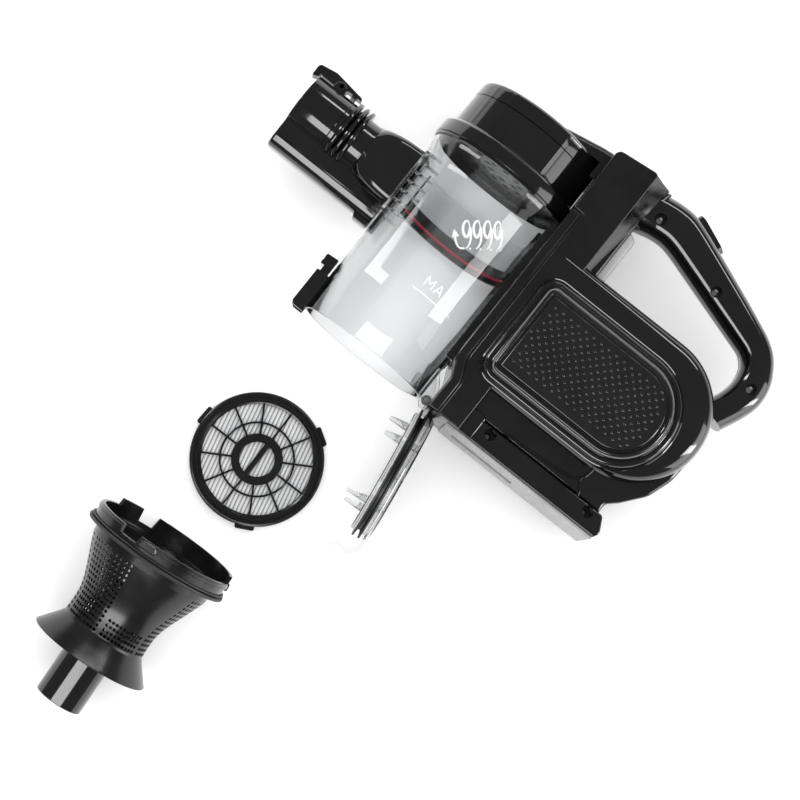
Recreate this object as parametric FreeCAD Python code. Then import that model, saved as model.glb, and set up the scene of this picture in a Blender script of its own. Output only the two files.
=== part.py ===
"""Handheld cyclonic vacuum laid out for cleaning: vacuum on its side with the cup door open,
the washable filter and the shroud cone laid beside it. Millimetres."""
import FreeCAD
import Part
import math
import os

V = FreeCAD.Vector

# ---- overall sizes, drawn with z = 0 on the vacuum's mid-plane, x from nozzle to handle, y from door to motor
INLET_END_X = -135.6
INLET_Y = 41.5
BASE_Y = -75.0

# ---- dust cup
CUP_X = 4.2
CUP_R = 50.0
CUP_WALL = 2.2
CUP_RIM_Y = -68.3
CUP_TOP_Y = 88.0
CUP_FLARE_R = 53.6
CUP_BORE_R = CUP_R - CUP_WALL

# ---- motor head
COLLAR_R = 55.4
COLLAR_Y0 = 81.0
COLLAR_Y1 = 95.5
COVER_TOP_Y = 131.0
COVER_WALL = 2.4
SHELF_Y0 = 89.6
SHELF_Y1 = 92.0
SHAFT_R = 2.4
IMPELLER_R = 29.0
CAN_R = 34.0
CAN_TOP_Y = 122.0

# ---- housing
SPINE_X0 = 54.6
SPINE_X1 = 87.0
SPINE_HALF = 45.0
POD_END_X = 223.0
HANDLE_END_X = POD_END_X + 17.6
POD_TOP_Y = 68.0
POD_BOTTOM_Y = -37.0
POD_HALF = 47.0
BAND_HALF = 51.5
PANEL_HALF = 54.4
DOT_HIGH = 1.0
DOT_X = 87.2
DOT_Y = -15.7
DOT_PITCH = 6.42
DOT_ROW_PITCH = 3.24
DOT_ROWS = 15
DOTS_PER_ROW = 15
REST_HALF = PANEL_HALF + DOT_HIGH
HANDLE_HALF = 17.0
GRIP_ROUND = 10.0
GUSSET_HALF = 20.0
BRACKET_HALF = 36.0
SHELL_WALL = 3.5

# ---- door, drawn closed, stored open
HINGE_X = 58.5
HINGE_Y = -68.0
DOOR_OPEN_DEG = 99.0
DOOR_SEAL_R = 48.8
DOOR_GAP = 0.3
PIN_R = 1.5
PIN_CLEAR = 0.05

# ---- nozzle end
TUBE_R = 21.0
TUBE_BORE_R = 17.0
LEVER_PIVOT_X = -119.8
LEVER_PIVOT_Y = 65.0

# ---- shroud, drawn upright with the seal at y = 0
SHROUD_SEAL_R = 53.6
SKIRT_R = 43.4
SKIRT_Y = -80.0
SHROUD_TUBE_R = 17.2
SHROUD_TUBE_END = -119.0
SHROUD_X = -18.8
SHROUD_Y = -262.0
SHROUD_TURN_DEG = 4.2

# ---- filter, drawn lying flat with its base at z = 0
FILTER_X = -7.7
FILTER_Y = -167.6
FILTER_R = 47.0
FILTER_H = 10.0
PLEAT_PITCH = 2.8
FILTER_TURN_DEG = 1.0
PLEAT_LEAN_DEG = 12.5

# ---- clearances
RUN_GAP = 0.35
BUTTON_GAP = 0.35

# ---- buttons and trigger
STRIP_X = 71.0
STRIP_LONG = 48.0
STRIP_WIDE = 22.0
STRIP_THICK = 1.6
POWER_R = 7.0
MODE_X = 141.0
TRIGGER_HALF = 8.5

TOP_LINE = ((SPINE_X0, 142.3), (97.0, 147.2))
HANDLE_LINE = ((127.0, 150.5), (HANDLE_END_X - 18.6, 111.5))


def line_y(line, x):
    (x0, y0), (x1, y1) = line
    return y0 + (y1 - y0) * (x - x0) / (x1 - x0)


def slope_deg(line):
    (x0, y0), (x1, y1) = line
    return math.degrees(math.atan2(y1 - y0, x1 - x0))


TOP_SLOPE_DEG = slope_deg(TOP_LINE)
HANDLE_SLOPE_DEG = slope_deg(HANDLE_LINE)
STRIP_AT = V(STRIP_X, line_y(TOP_LINE, STRIP_X), 0)
POWER_AT_X = 13.0
MODE_AT = V(MODE_X, line_y(HANDLE_LINE, MODE_X), 0)

# the shroud lies on its seal's edge and its skirt's edge
LEAN = math.atan2(SHROUD_SEAL_R - SKIRT_R, -SKIRT_Y)
SHROUD_AXIS_Z = SHROUD_SEAL_R * math.cos(LEAN) - REST_HALF


# ---------------------------------------------------------------- helpers
def box(x0, x1, y0, y1, z0, z1):
    return Part.makeBox(x1 - x0, y1 - y0, z1 - z0, V(x0, y0, z0))


def rod_x(r, y, z, x0, x1):
    return Part.makeCylinder(r, x1 - x0, V(x0, y, z), V(1, 0, 0))


def rod_y(r, x, z, y0, y1):
    return Part.makeCylinder(r, y1 - y0, V(x, y0, z), V(0, 1, 0))


def rod_z(r, x, y, z0, z1):
    return Part.makeCylinder(r, z1 - z0, V(x, y, z0), V(0, 0, 1))


def fuse(first, *others):
    return first.multiFuse(list(others)).removeSplitter()


def lathe(points, x=CUP_X, z=0.0):
    corners = [V(x + r, y, z) for r, y in points]
    face = Part.Face(Part.makePolygon(corners + [corners[0]]))
    return face.revolve(V(x, 0, z), V(0, 1, 0), 360)


def rounded_wire(points, z=0.0):
    """Closed outline through (x, y, corner radius) points."""
    edges = []
    starts = []
    ends = []
    count = len(points)
    for i in range(count):
        px, py, r = points[i]
        corner = V(px, py, z)
        before = V(points[i - 1][0], points[i - 1][1], z)
        after = V(points[(i + 1) % count][0], points[(i + 1) % count][1], z)
        if r <= 0:
            starts.append(corner)
            ends.append(corner)
            continue
        u = (before - corner).normalize()
        w = (after - corner).normalize()
        half = u.getAngle(w) / 2
        reach = r / math.tan(half)
        centre = corner + (u + w).normalize() * (r / math.sin(half))
        a = corner + u * reach
        b = corner + w * reach
        middle = centre + (corner - centre).normalize() * r
        edges.append((i, Part.Arc(a, middle, b).toShape()))
        starts.append(a)
        ends.append(b)
    arcs = dict(edges)
    ordered = []
    for i in range(count):
        if i in arcs:
            ordered.append(arcs[i])
        nxt = (i + 1) % count
        if ends[i].distanceToPoint(starts[nxt]) > 1e-6:
            ordered.append(Part.makeLine(ends[i], starts[nxt]))
    return Part.Wire(ordered)


def slab(points, z0, z1):
    """Rounded outline raised between two heights; points are (x, y, corner radius)."""
    return Part.Face(rounded_wire(points, z0)).extrude(V(0, 0, z1 - z0))


def plain(points):
    return [(x, y, 0.0) for x, y in points]


def soften(shape, radius, z_limit):
    """Round every edge that lies wholly at |z| = z_limit."""
    picked = []
    for edge in shape.Edges:
        bounds = edge.BoundBox
        flat = bounds.ZMax - bounds.ZMin < 1e-6
        if flat and abs(abs(bounds.ZMin) - z_limit) < 1e-6:
            picked.append(edge)
    return shape.makeFillet(radius, picked)


def both_sides(shape):
    """A piece on the +z side together with its mirror image."""
    return [shape, shape.mirror(V(0, 0, 0), V(0, 0, 1))]


def stadium(long, wide, y0, y1):
    """Flat oval about the local y axis, long along x."""
    r = wide / 2
    reach = long / 2 - r
    middle = box(-reach, reach, y0, y1, -r, r)
    return fuse(middle, rod_y(r, -reach, 0, y0, y1), rod_y(r, reach, 0, y0, y1))


def at(shape, place, turn_deg):
    """Turn a locally drawn piece about z and carry it to its place."""
    moved = shape.copy()
    moved.rotate(V(0, 0, 0), V(0, 0, 1), turn_deg)
    moved.translate(place)
    return moved


def coil(r, wire, length, turns):
    """Compression spring standing along +y from the origin, drawn as a many-sided wire."""
    lead = (length - 2 * wire) / turns
    sections = []
    for k in range(12 * turns + 1):
        angle = 2 * math.pi * k / 12
        out = V(math.cos(angle), 0, math.sin(angle))
        middle = out * (r - wire) + V(0, wire + lead * k / 12, 0)
        ring = []
        for side in range(8):
            around = 2 * math.pi * side / 8
            ring.append(middle + out * (wire * math.cos(around)) + V(0, wire * math.sin(around), 0))
        sections.append(Part.makePolygon(ring + [ring[0]]))
    return Part.makeLoft(sections, True, True)


def group(*shapes):
    return Part.makeCompound(list(shapes))


# ---------------------------------------------------------------- housing shells
def handle_outer():
    (x0, y0), (x1, y1) = HANDLE_LINE
    end = HANDLE_END_X
    return [(60, 24, 12), (60, 142.8, 12), (x0, y0, 14), (x1, y1, 22), (end, 82, 26), (end - 2.1, 60, 20),
            (end - 21.6, 24, 12)]


def handle_hole():
    end = HANDLE_END_X
    return [(97.5, 56, 8), (97.5, 117.2, 12), (122, 117.2, 14), (end - 27.4, 89.6, 10), (end - 24.8, 66, 14),
            (end - 36.6, 48, 8)]


def pod_outline(inset):
    top = POD_TOP_Y - inset
    low = POD_BOTTOM_Y + inset
    end = POD_END_X - inset
    r = (top - low) / 2 - 0.01
    return [(SPINE_X1 - 10, low, 0), (SPINE_X1 - 10, top, 0), (end, top, r), (end, low, r)]


def neck_outline(inset):
    end = POD_END_X - inset
    return [(SPINE_X1 - 10, -20, 0), (end - 6, -14, 4), (end - 12, -36, 6), (end - 26, -53, 4),
            (end - 26, -60, 0), (SPINE_X1 - 10, -60, 0)]


def band_outline(inset):
    low = -35.3 + inset
    high = 47.8 - inset
    near = 13.0 - 0.8 * inset
    far = 40.0 - inset
    end = POD_END_X - 20 - inset
    return [(70.0 + inset, low, near), (70.0 + inset, high, near), (end, high, far), (end, low, far)]


def spine_outline():
    return [(SPINE_X0, -39, 4), (61.5, -52, 4), (61.5, -73, 0), (SPINE_X1, -73, 0),
            (SPINE_X1, line_y(TOP_LINE, SPINE_X1), 0), (SPINE_X0, 142.3, 0)]


def bracket_outline():
    end = POD_END_X
    return [(SPINE_X1 - 10, -73, 0), (SPINE_X1 - 10, -57, 0), (end - 24.5, -57, 3), (end - 18.5, -68, 4), (end - 21, -73, 2)]


SCREWS = ((107.0, 128.5, HANDLE_HALF), (HANDLE_END_X - 73.6, 113.2, HANDLE_HALF), (HANDLE_END_X - 14.2, 75.5, HANDLE_HALF),
          (106.0, -61.5, BRACKET_HALF), (POD_END_X - 34.4, -61.5, BRACKET_HALF))


def housing_outside():
    spine = soften(slab(spine_outline(), -SPINE_HALF, SPINE_HALF), 5.0, SPINE_HALF)
    pod = soften(slab(pod_outline(0), -POD_HALF, POD_HALF), 9.0, POD_HALF)
    neck = slab(neck_outline(0), -32, 32)
    bracket = soften(slab(bracket_outline(), -BRACKET_HALF, BRACKET_HALF), 2.5, BRACKET_HALF)
    grip = slab(handle_outer(), -HANDLE_HALF, HANDLE_HALF).cut(slab(handle_hole(), -HANDLE_HALF - 1, HANDLE_HALF + 1))
    grip = soften(grip, GRIP_ROUND, HANDLE_HALF)
    gusset = slab(plain([(84, 50), (97.4, 60), (97.4, 121), (103, 147.6), (84, 145.7)]), -GUSSET_HALF, GUSSET_HALF)
    gusset = soften(gusset, 4.0, GUSSET_HALF)
    bands = slab(band_outline(0), -BAND_HALF, BAND_HALF)
    bands = soften(bands, 2.0, BAND_HALF)
    rails = [box(49.6, SPINE_X0 + 1, -39, 78, 30, 35), box(49.6, SPINE_X0 + 1, -39, 78, -35, -30)]
    return fuse(spine, pod, neck, bracket, grip, gusset, bands, *rails)


def housing_inside():
    spine = box(SPINE_X0 + SHELL_WALL, 83.6, -60, 138, -40.5, 40.5)
    pod = slab([(80, POD_BOTTOM_Y + 4.5, 0), (80, POD_TOP_Y - 4.5, 0),
                (POD_END_X - 4.5, POD_TOP_Y - 4.5, 47.9), (POD_END_X - 4.5, POD_BOTTOM_Y + 4.5, 47.9)], -43.5, 43.5)
    neck = slab(neck_outline(4.5), -28, 28)
    neck = neck.cut(box(60, 230, -70, -56, -40, 40))
    end = HANDLE_END_X
    grip = slab([(end - 70.6, 125, 0), (end - 20.6, 104.5, 15), (end - 7.6, 81, 18), (end - 9.6, 61, 1),
                 (end - 16.6, 61, 1), (end - 17.1, 84, 12), (end - 25.6, 96.5, 10), (end - 72.6, 113, 0)], -11, 11)
    room = fuse(spine, pod, neck, grip)
    bosses = [rod_z(5.6, x, y, -60, 60) for x, y, half in SCREWS]
    return room.cut(bosses[0].multiFuse(bosses[1:]))


def housing_pockets():
    """Everything let into the shells: buttons, trigger, panels, hinge notch, screw wells."""
    cuts = [box(54, 77, -80, -65, -24, 24), box(54, 64.5, -66, -50, -19, 19)]
    for x, y, half in SCREWS:
        cuts.append(rod_z(3.75, x, y, 8, 60))
    cuts.append(slab(band_outline(6.5), 48.5, 60))
    cuts.append(slab(band_outline(6.5), -60, -48.5))
    cuts.append(at(rod_y(POWER_R + BUTTON_GAP, POWER_AT_X, 0, -9, 6), STRIP_AT, TOP_SLOPE_DEG))
    cuts.append(at(stadium(30.7, 12.7, -9, 6), MODE_AT, HANDLE_SLOPE_DEG))
    half = TRIGGER_HALF + RUN_GAP
    cuts.append(box(86.0, 98.5, 69.6, 112.4, -half, half))
    cuts.append(box(88.0, 96.0, 87.0, 95.0, -half - 2.2, half + 2.2))
    cuts.append(box(86.5, 138.5, -76, -70.2, -7.0, 7.0))
    for side in (-1, 1):
        cuts.append(box(88, POD_END_X - 24, -56.9, -37.2, side * 34 - 2.0, side * 34 + 2.0))
    return cuts


def housing():
    solid = housing_outside().cut(housing_inside())
    for piece in housing_pockets():
        solid = solid.cut(piece)
    solid = solid.cut(rod_y(CUP_FLARE_R + 2.4, CUP_X, 0, 77.5, 97.5))
    solid = solid.cut(rod_y(CUP_R + 0.3, CUP_X, 0, -80, 133))
    solid = solid.cut(lathe([(0, 60), (CUP_R + 0.3, 60), (CUP_FLARE_R + 2.4, 72), (CUP_FLARE_R + 2.4, 78), (0, 78)]))
    left = solid.common(box(-200, 300, -200, 200, 0, 80))
    right = solid.common(box(-200, 300, -200, 200, -80, 0))
    for x, y, half in SCREWS:
        left = left.cut(rod_z(1.8, x, y, -1, 9))
        right = right.cut(rod_z(1.5, x, y, -9, 1))
    return left, right


def housing_screws():
    made = []
    for x, y, half in SCREWS:
        head = rod_z(3.0, x, y, 8.0, 10.4).cut(box(x - 2.2, x + 2.2, y - 0.45, y + 0.45, 9.4, 11))
        head = head.cut(box(x - 0.45, x + 0.45, y - 2.2, y + 2.2, 9.4, 11))
        made.append(fuse(head, rod_z(1.5, x, y, -9.0, 8.0)))
    return group(*made)


def side_panel():
    """Textured grip panel on the +z side, with staggered raised dots."""
    plate = slab(band_outline(7.6), 48.5, PANEL_HALF)
    plate = soften(plate, 1.2, PANEL_HALF)
    dots = []
    for row in range(DOT_ROWS):
        y = DOT_Y + DOT_ROW_PITCH * row
        shift = DOT_PITCH / 2 if row % 2 else 0.0
        for k in range(DOTS_PER_ROW):
            dots.append(Part.makeCone(1.1, 0.5, DOT_HIGH, V(DOT_X + shift + DOT_PITCH * k, y, PANEL_HALF)))
    return plate.multiFuse(dots)


def panel_trim():
    outer = slab(band_outline(6.55), 48.5, 53.2)
    return outer.cut(slab(band_outline(7.6), 48, 54))


def base_plate():
    plate = slab([(78, -73, 0), (78, BASE_Y, 1), (POD_END_X - 22, BASE_Y, 1), (POD_END_X - 21, -73, 0)], -33, 33)
    plate = plate.cut(box(86.5, 138.5, -76, -70, -7.0, 7.0))
    return plate


def base_contact():
    block = box(86.7, 138.3, BASE_Y + 1.4, -70.2, -6.8, 6.8)
    return block.cut(box(92, 133, BASE_Y, BASE_Y + 2.4, -3.4, -1.4)).cut(box(92, 133, BASE_Y, BASE_Y + 2.4, 1.4, 3.4))


def dock_contacts():
    return group(box(92, 133, BASE_Y + 1.2, BASE_Y + 2.4, -3.4, -1.4), box(92, 133, BASE_Y + 1.2, BASE_Y + 2.4, 1.4, 3.4))


# ---------------------------------------------------------------- motor head
def motor_collar():
    ring = lathe([(CUP_FLARE_R + 0.3, COLLAR_Y0), (COLLAR_R - 0.4, COLLAR_Y0), (COLLAR_R, COLLAR_Y0 + 1),
                  (COLLAR_R, 92.5), (COLLAR_R - 2.4, COLLAR_Y1), (CUP_R + 0.05, COLLAR_Y1), (CUP_R + 0.05, SHELF_Y1),
                  (46.0, SHELF_Y1), (46.0, SHELF_Y0), (CUP_FLARE_R + 0.3, SHELF_Y0)])
    return ring


def motor_cover():
    top = COVER_TOP_Y
    shell = lathe([(CUP_R - COVER_WALL, SHELF_Y1), (CUP_R, SHELF_Y1), (CUP_R, 127.2), (48.9, 129.6), (46.4, top),
                   (0, top), (0, top - COVER_WALL), (45.4, top - COVER_WALL), (CUP_R - COVER_WALL, 126.0)])
    for angle in range(0, 360, 30):
        slot = box(17, 37, top - 5, top + 1, -1.3, 1.3)
        slot.rotate(V(0, 0, 0), V(0, 1, 0), angle)
        slot.translate(V(CUP_X, 0, 0))
        if abs(math.sin(math.radians(angle))) > 0.4 or math.cos(math.radians(angle)) < 0:
            shell = shell.cut(slot)
    for angle in (37, 91, 112, 143, -37, -91, -112, -143):
        groove = box(CUP_R - 0.5, CUP_R + 1, 97.5, 126, -0.5, 0.5)
        groove.rotate(V(0, 0, 0), V(0, 1, 0), angle - 180)
        groove.translate(V(CUP_X, 0, 0))
        shell = shell.cut(groove)
    return shell


def head_fairing():
    outline = [(-6, COVER_TOP_Y, 0), (20, 136.3, 30), (46.0, 141.3, 20), (SPINE_X0, 142.3, 0), (SPINE_X0, 119, 0),
               (50, 119, 0), (50, COVER_TOP_Y, 0)]
    body = slab(outline, -28, 28)
    body = body.cut(rod_y(CUP_R + 0.02, CUP_X, 0, 90, COVER_TOP_Y))
    edges = [e for e in body.Edges if abs(abs(e.BoundBox.ZMin) - 28) < 1e-6 and e.BoundBox.ZLength < 1e-6
             and e.BoundBox.YMin > COVER_TOP_Y - 0.5 and e.BoundBox.YLength > 0.2 and e.BoundBox.XLength > 3]
    return body.makeFillet(5.0, edges)


def intake_grille():
    disc = lathe([(0, 87.6), (50.2, 87.6), (50.2, SHELF_Y0), (0, SHELF_Y0)])
    cuts = []
    for ring_r, count in ((14.0, 8), (24.0, 14), (34.0, 20)):
        for k in range(count):
            hole = rod_y(2.6, ring_r, 0, 80, 95)
            hole.rotate(V(0, 0, 0), V(0, 1, 0), 360.0 * k / count)
            hole.translate(V(CUP_X, 0, 0))
            cuts.append(hole)
    return disc.cut(cuts[0].multiFuse(cuts[1:]))


def motor_can():
    return lathe([(CAN_R - 1.5, SHELF_Y1 + 0.4), (CAN_R, SHELF_Y1 + 0.4), (CAN_R, CAN_TOP_Y),
                  (SHAFT_R + PIN_CLEAR, CAN_TOP_Y), (SHAFT_R + PIN_CLEAR, CAN_TOP_Y - 3), (CAN_R - 1.5, CAN_TOP_Y - 3)])


def motor_mount():
    return lathe([(CAN_R, SHELF_Y1), (47.4, SHELF_Y1), (47.4, 96), (CAN_R, 96)])


def stator():
    ring = lathe([(13, 104), (CAN_R - 1.5, 104), (CAN_R - 1.5, 117), (13, 117)])
    for k in range(6):
        slot = box(17, 29, 100, 120, -2.2, 2.2)
        slot.rotate(V(0, 0, 0), V(0, 1, 0), 60 * k + 30)
        slot.translate(V(CUP_X, 0, 0))
        ring = ring.cut(slot)
    return ring


def rotor_shaft():
    return lathe([(0, 93.4), (SHAFT_R, 93.4), (SHAFT_R, 104.5), (11.6, 104.5), (11.6, 116.5), (SHAFT_R, 116.5),
                  (SHAFT_R, 123.5), (0, 123.5)])


def impeller():
    hub = lathe([(SHAFT_R, 94), (7.5, 94), (9.0, 99.8), (IMPELLER_R, 99.8), (IMPELLER_R, 101.2), (SHAFT_R, 101.2)])
    blades = []
    for k in range(9):
        blade = box(7.0, IMPELLER_R - 0.5, 94.6, 99.8, -0.6, 0.6)
        blade.rotate(V(7, 0, 0), V(0, 1, 0), 24)
        blade.rotate(V(0, 0, 0), V(0, 1, 0), 40 * k)
        blade.translate(V(CUP_X, 0, 0))
        blades.append(blade.common(lathe([(6, 94), (IMPELLER_R, 94), (IMPELLER_R, 100), (6, 100)])))
    return hub.multiFuse(blades).removeSplitter()


# ---------------------------------------------------------------- battery and boards
CELLS = ((104, 34), (125, 34), (146, 34), (167, 34), (114.5, 12), (135.5, 12), (156.5, 12))
CELL_R = 9.1


def battery_cells():
    made = []
    for x, y in CELLS:
        can = rod_z(CELL_R, x, y, -32.5, 32.0)
        made.append(fuse(can, rod_z(3.0, x, y, 32.0, 32.8)))
    return group(*made)


def battery_holder():
    made = []
    for z0, z1, foot0, foot1 in ((26, 31, 31, 43.5), (-31, -26, -43.5, -31)):
        plate = slab([(91, 0, 3), (91, 46, 3), (180, 46, 3), (180, 0, 3)], z0, z1)
        for x, y in CELLS:
            plate = plate.cut(rod_z(CELL_R + 0.05, x, y, z0 - 1, z1 + 1))
        feet = [rod_z(2.4, x, y, foot0, foot1) for x, y in ((93.5, 2.5), (177.5, 2.5), (93.5, 20), (177.5, 43.5))]
        made.append(fuse(plate, *feet))
    tie = box(96, 176, 0.2, 2.2, -26, 26)
    return fuse(made[0], made[1], tie)


def bms_board():
    board = box(98, 172, 46, 47.6, -24, 24)
    chips = [box(108, 118, 47.6, 50.2, -6, 6), box(130, 137, 47.6, 49.6, -12, -2), box(150, 162, 47.6, 51, 4, 16)]
    feet = [rod_y(2, 100.5, 27.5, 46, 48)]
    lugs = [box(98, 104, 46, 47.6, 24, 30), box(98, 104, 46, 47.6, -30, -24)]
    return fuse(board, *chips, *lugs, feet[0])


def control_board():
    x = SPINE_X0 + SHELL_WALL
    posts = [rod_x(2.2, y, z, x, x + 4) for y, z in ((24, 18), (24, -18), (96, 18), (96, -18))]
    board = box(x + 4, x + 5.6, 20, 100, -22, 22)
    chips = [box(x + 5.6, x + 9, 40, 52, -8, 8), box(x + 5.6, x + 8, 64, 72, -4, 6), rod_x(4, 84, 10, x + 5.6, x + 14)]
    return fuse(board, *posts, *chips)


# ---------------------------------------------------------------- buttons and trigger
def power_strip():
    plate = stadium(STRIP_LONG, STRIP_WIDE, 0, STRIP_THICK)
    return at(plate.cut(rod_y(POWER_R + BUTTON_GAP, POWER_AT_X, 0, -2, 4)), STRIP_AT, TOP_SLOPE_DEG)


def power_button():
    cap = fuse(rod_y(POWER_R, POWER_AT_X, 0, -4.5, 2.2), rod_y(POWER_R - 1.2, POWER_AT_X, 0, 2.2, 2.5))
    return at(cap, STRIP_AT, TOP_SLOPE_DEG)


def power_spring():
    spring = coil(4.0, 0.4, 4.5, 3)
    spring.translate(V(POWER_AT_X, -9, 0))
    return at(spring, STRIP_AT, TOP_SLOPE_DEG)


def mode_button():
    return at(fuse(stadium(30, 12, -4.5, 1.6), stadium(27, 9, 1.6, 2.2)), MODE_AT, HANDLE_SLOPE_DEG)


def mode_spring():
    spring = coil(4.0, 0.4, 4.5, 4)
    spring.translate(V(0, -9, 0))
    return at(spring, MODE_AT, HANDLE_SLOPE_DEG)


def trigger():
    body = slab([(93.5, 70.0, 0), (93.5, 112.0, 0), (103.5, 108.0, 6), (103.5, 70.0, 1.5)], -TRIGGER_HALF, TRIGGER_HALF)
    lug = box(93.5, 95.8, 88.0, 94.0, -TRIGGER_HALF - 2, TRIGGER_HALF + 2)
    front = [e for e in body.Edges if abs(abs(e.BoundBox.ZMin) - TRIGGER_HALF) < 1e-6 and e.BoundBox.ZLength < 1e-6
             and e.BoundBox.XMin > 103.4 and e.BoundBox.YLength > 5]
    body = body.makeFillet(3.0, front)
    return fuse(body, lug)


def trigger_spring():
    spring = coil(3.2, 0.4, 7.5, 5)
    spring.rotate(V(0, 0, 0), V(0, 0, 1), -90)
    spring.translate(V(86.0, 91.0, 0))
    return spring


# ---------------------------------------------------------------- dust cup
def cup_outer():
    return lathe([(0, CUP_RIM_Y), (CUP_R, CUP_RIM_Y), (CUP_R, 61), (50.4, 65), (51.4, 69), (52.7, 73), (53.4, 77),
                  (CUP_FLARE_R, 81), (CUP_FLARE_R, CUP_TOP_Y), (0, CUP_TOP_Y)])


def cup_inner():
    return lathe([(0, CUP_RIM_Y - 1), (CUP_BORE_R, CUP_RIM_Y - 1), (CUP_BORE_R, 61), (48.2, 65), (49.2, 69),
                  (50.5, 73), (51.2, 77), (51.4, 81), (51.4, CUP_TOP_Y + 1), (0, CUP_TOP_Y + 1)])


def hinge_ears():
    ear = slab(plain([(44, -46), (53, -46), (60, -56), (63.2, -66), (63.2, -68), (53.8, -68), (44, -67.9)]), 14, 17.5)
    ear = fuse(ear, rod_z(4.7, HINGE_X, HINGE_Y, 14, 17.5))
    ear = ear.cut(rod_z(PIN_R, HINGE_X, HINGE_Y, 10, 20))
    return both_sides(ear)


def socket_block():
    block = slab([(-46.6, 13.5, 4), (-46.6, 65.0, 4), (-20, 65.0, 0), (-20, 13.5, 0)], -25, 25)
    for k in range(6):
        y = 17.5 + 7.9 * k
        for z0, z1 in ((19.2, 26), (-26, -19.2)):
            block = block.cut(box(-43.6, -20, y, y + 5.2, z0, z1))
    lip = box(-46.6, -44.0, -0.8, 13.5, -13, 13)
    return fuse(block, lip)


def dust_cup():
    body = fuse(cup_outer(), socket_block(), *hinge_ears())
    body = body.cut(cup_inner())
    return body.cut(rod_x(TUBE_BORE_R, INLET_Y, 0, -60, 0))


def cup_seal():
    return lathe([(50.6, CUP_TOP_Y), (CUP_FLARE_R - 0.1, CUP_TOP_Y), (CUP_FLARE_R - 0.1, SHELF_Y0), (50.6, SHELF_Y0)])


def half_ring(r0, r1, y0, y1, start_deg, sweep_deg):
    face = Part.Face(Part.makePolygon([V(CUP_X + r0, y0, 0), V(CUP_X + r1, y0, 0), V(CUP_X + r1, y1, 0),
                                       V(CUP_X + r0, y1, 0), V(CUP_X + r0, y0, 0)]))
    face.rotate(V(CUP_X, 0, 0), V(0, 1, 0), start_deg)
    return face.revolve(V(CUP_X, 0, 0), V(0, 1, 0), sweep_deg)


# the guide runs round the lower side of the cup, from beside the nozzle opening to the spine
GUIDE_START = 8.0
GUIDE_SWEEP = 142.0
GUIDE_R = CUP_BORE_R


def guide_band():
    band = half_ring(GUIDE_R - 3.0, GUIDE_R, 26.0, 38.5, GUIDE_START, GUIDE_SWEEP)
    return band.cut(half_ring(GUIDE_R - 3.5, GUIDE_R - 2.2, 30.0, 31.6, GUIDE_START - 1, GUIDE_SWEEP + 2))


def red_seal():
    return half_ring(GUIDE_R - 3.2, GUIDE_R - 2.2, 30.0, 31.6, GUIDE_START, GUIDE_SWEEP)


def air_guide():
    return half_ring(GUIDE_R - 1.6, GUIDE_R - 0.02, 38.5, 60.5, GUIDE_START, GUIDE_SWEEP)


# ---------------------------------------------------------------- door latch on the cup
def cup_cut(shape):
    return shape.cut(rod_y(CUP_R, CUP_X, 0, -90, 90))


def latch_guide():
    wall = slab([(-55, -70.5, 0), (-55, -43, 1), (-44, -43, 0), (-44, -72.6, 0), (-52.5, -72.6, 0)], 6.6, 9.0)
    web = box(-55, -53.4, -58.9, -43.0, -6.6, 6.6)
    ledge = box(-52.4, -44.4, -62, -60.2, -6.6, 6.6)
    catch = box(-50.4, -44.4, -69, -67.4, -6.6, 6.6)
    return cup_cut(fuse(web, ledge, catch, *both_sides(wall)))


def door_latch():
    head = slab([(-56, -38.7, 0.5), (-56, -30.8, 1.2), (-46.6, -30, 1.2), (-46.6, -38.7, 0)], -9.0, 9.0)
    rod = box(-53.0, -46.6, -54, -38.7, -6.2, 6.2)
    groove = box(-56.5, -55.5, -35.4, -34.6, -9.5, 9.5)
    return fuse(head, rod).cut(groove)


def latch_spring():
    spring = coil(2.6, 0.35, 6.2, 5)
    spring.translate(V(-49.8, -60.2, 0))
    return spring


# ---------------------------------------------------------------- door, drawn closed
SEAL_TOP = CUP_RIM_Y - DOOR_GAP
SEAL_LOW = SEAL_TOP - 5.8
COVER_LOW = SEAL_LOW - 5.8


def opened(shape):
    turned = shape.copy()
    turned.rotate(V(HINGE_X, HINGE_Y, 0), V(0, 0, 1), DOOR_OPEN_DEG)
    return turned


def door_plate():
    plate = lathe([(0, SEAL_TOP), (45.0, SEAL_TOP), (45.0, SEAL_TOP + 2.6), (44.2, SEAL_TOP + 3.2), (0, SEAL_TOP + 3.2)])
    posts = []
    for reach, z, high in ((22, 13, 13), (30, -13, 11), (78, 13, 15), (83, -13, 13)):
        base = V(HINGE_X - reach, SEAL_TOP + 3.2, z)
        posts.append(Part.makeCone(3.0, 1.4, high, base, V(0, 1, 0)))
    feet = [rod_y(3.0, CUP_X + x, z, SEAL_LOW - 3.8, SEAL_TOP) for x, z in ((24, 0), (-24, 0), (0, 24), (0, -24))]
    return fuse(plate, *posts, *feet)


def door_seal():
    return lathe([(38, SEAL_LOW), (DOOR_SEAL_R, SEAL_LOW), (DOOR_SEAL_R, SEAL_LOW + 1.2), (43.5, SEAL_LOW + 2.0),
                  (43.5, SEAL_TOP - 2.0), (DOOR_SEAL_R, SEAL_TOP - 1.2), (DOOR_SEAL_R, SEAL_TOP), (38, SEAL_TOP)])


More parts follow.
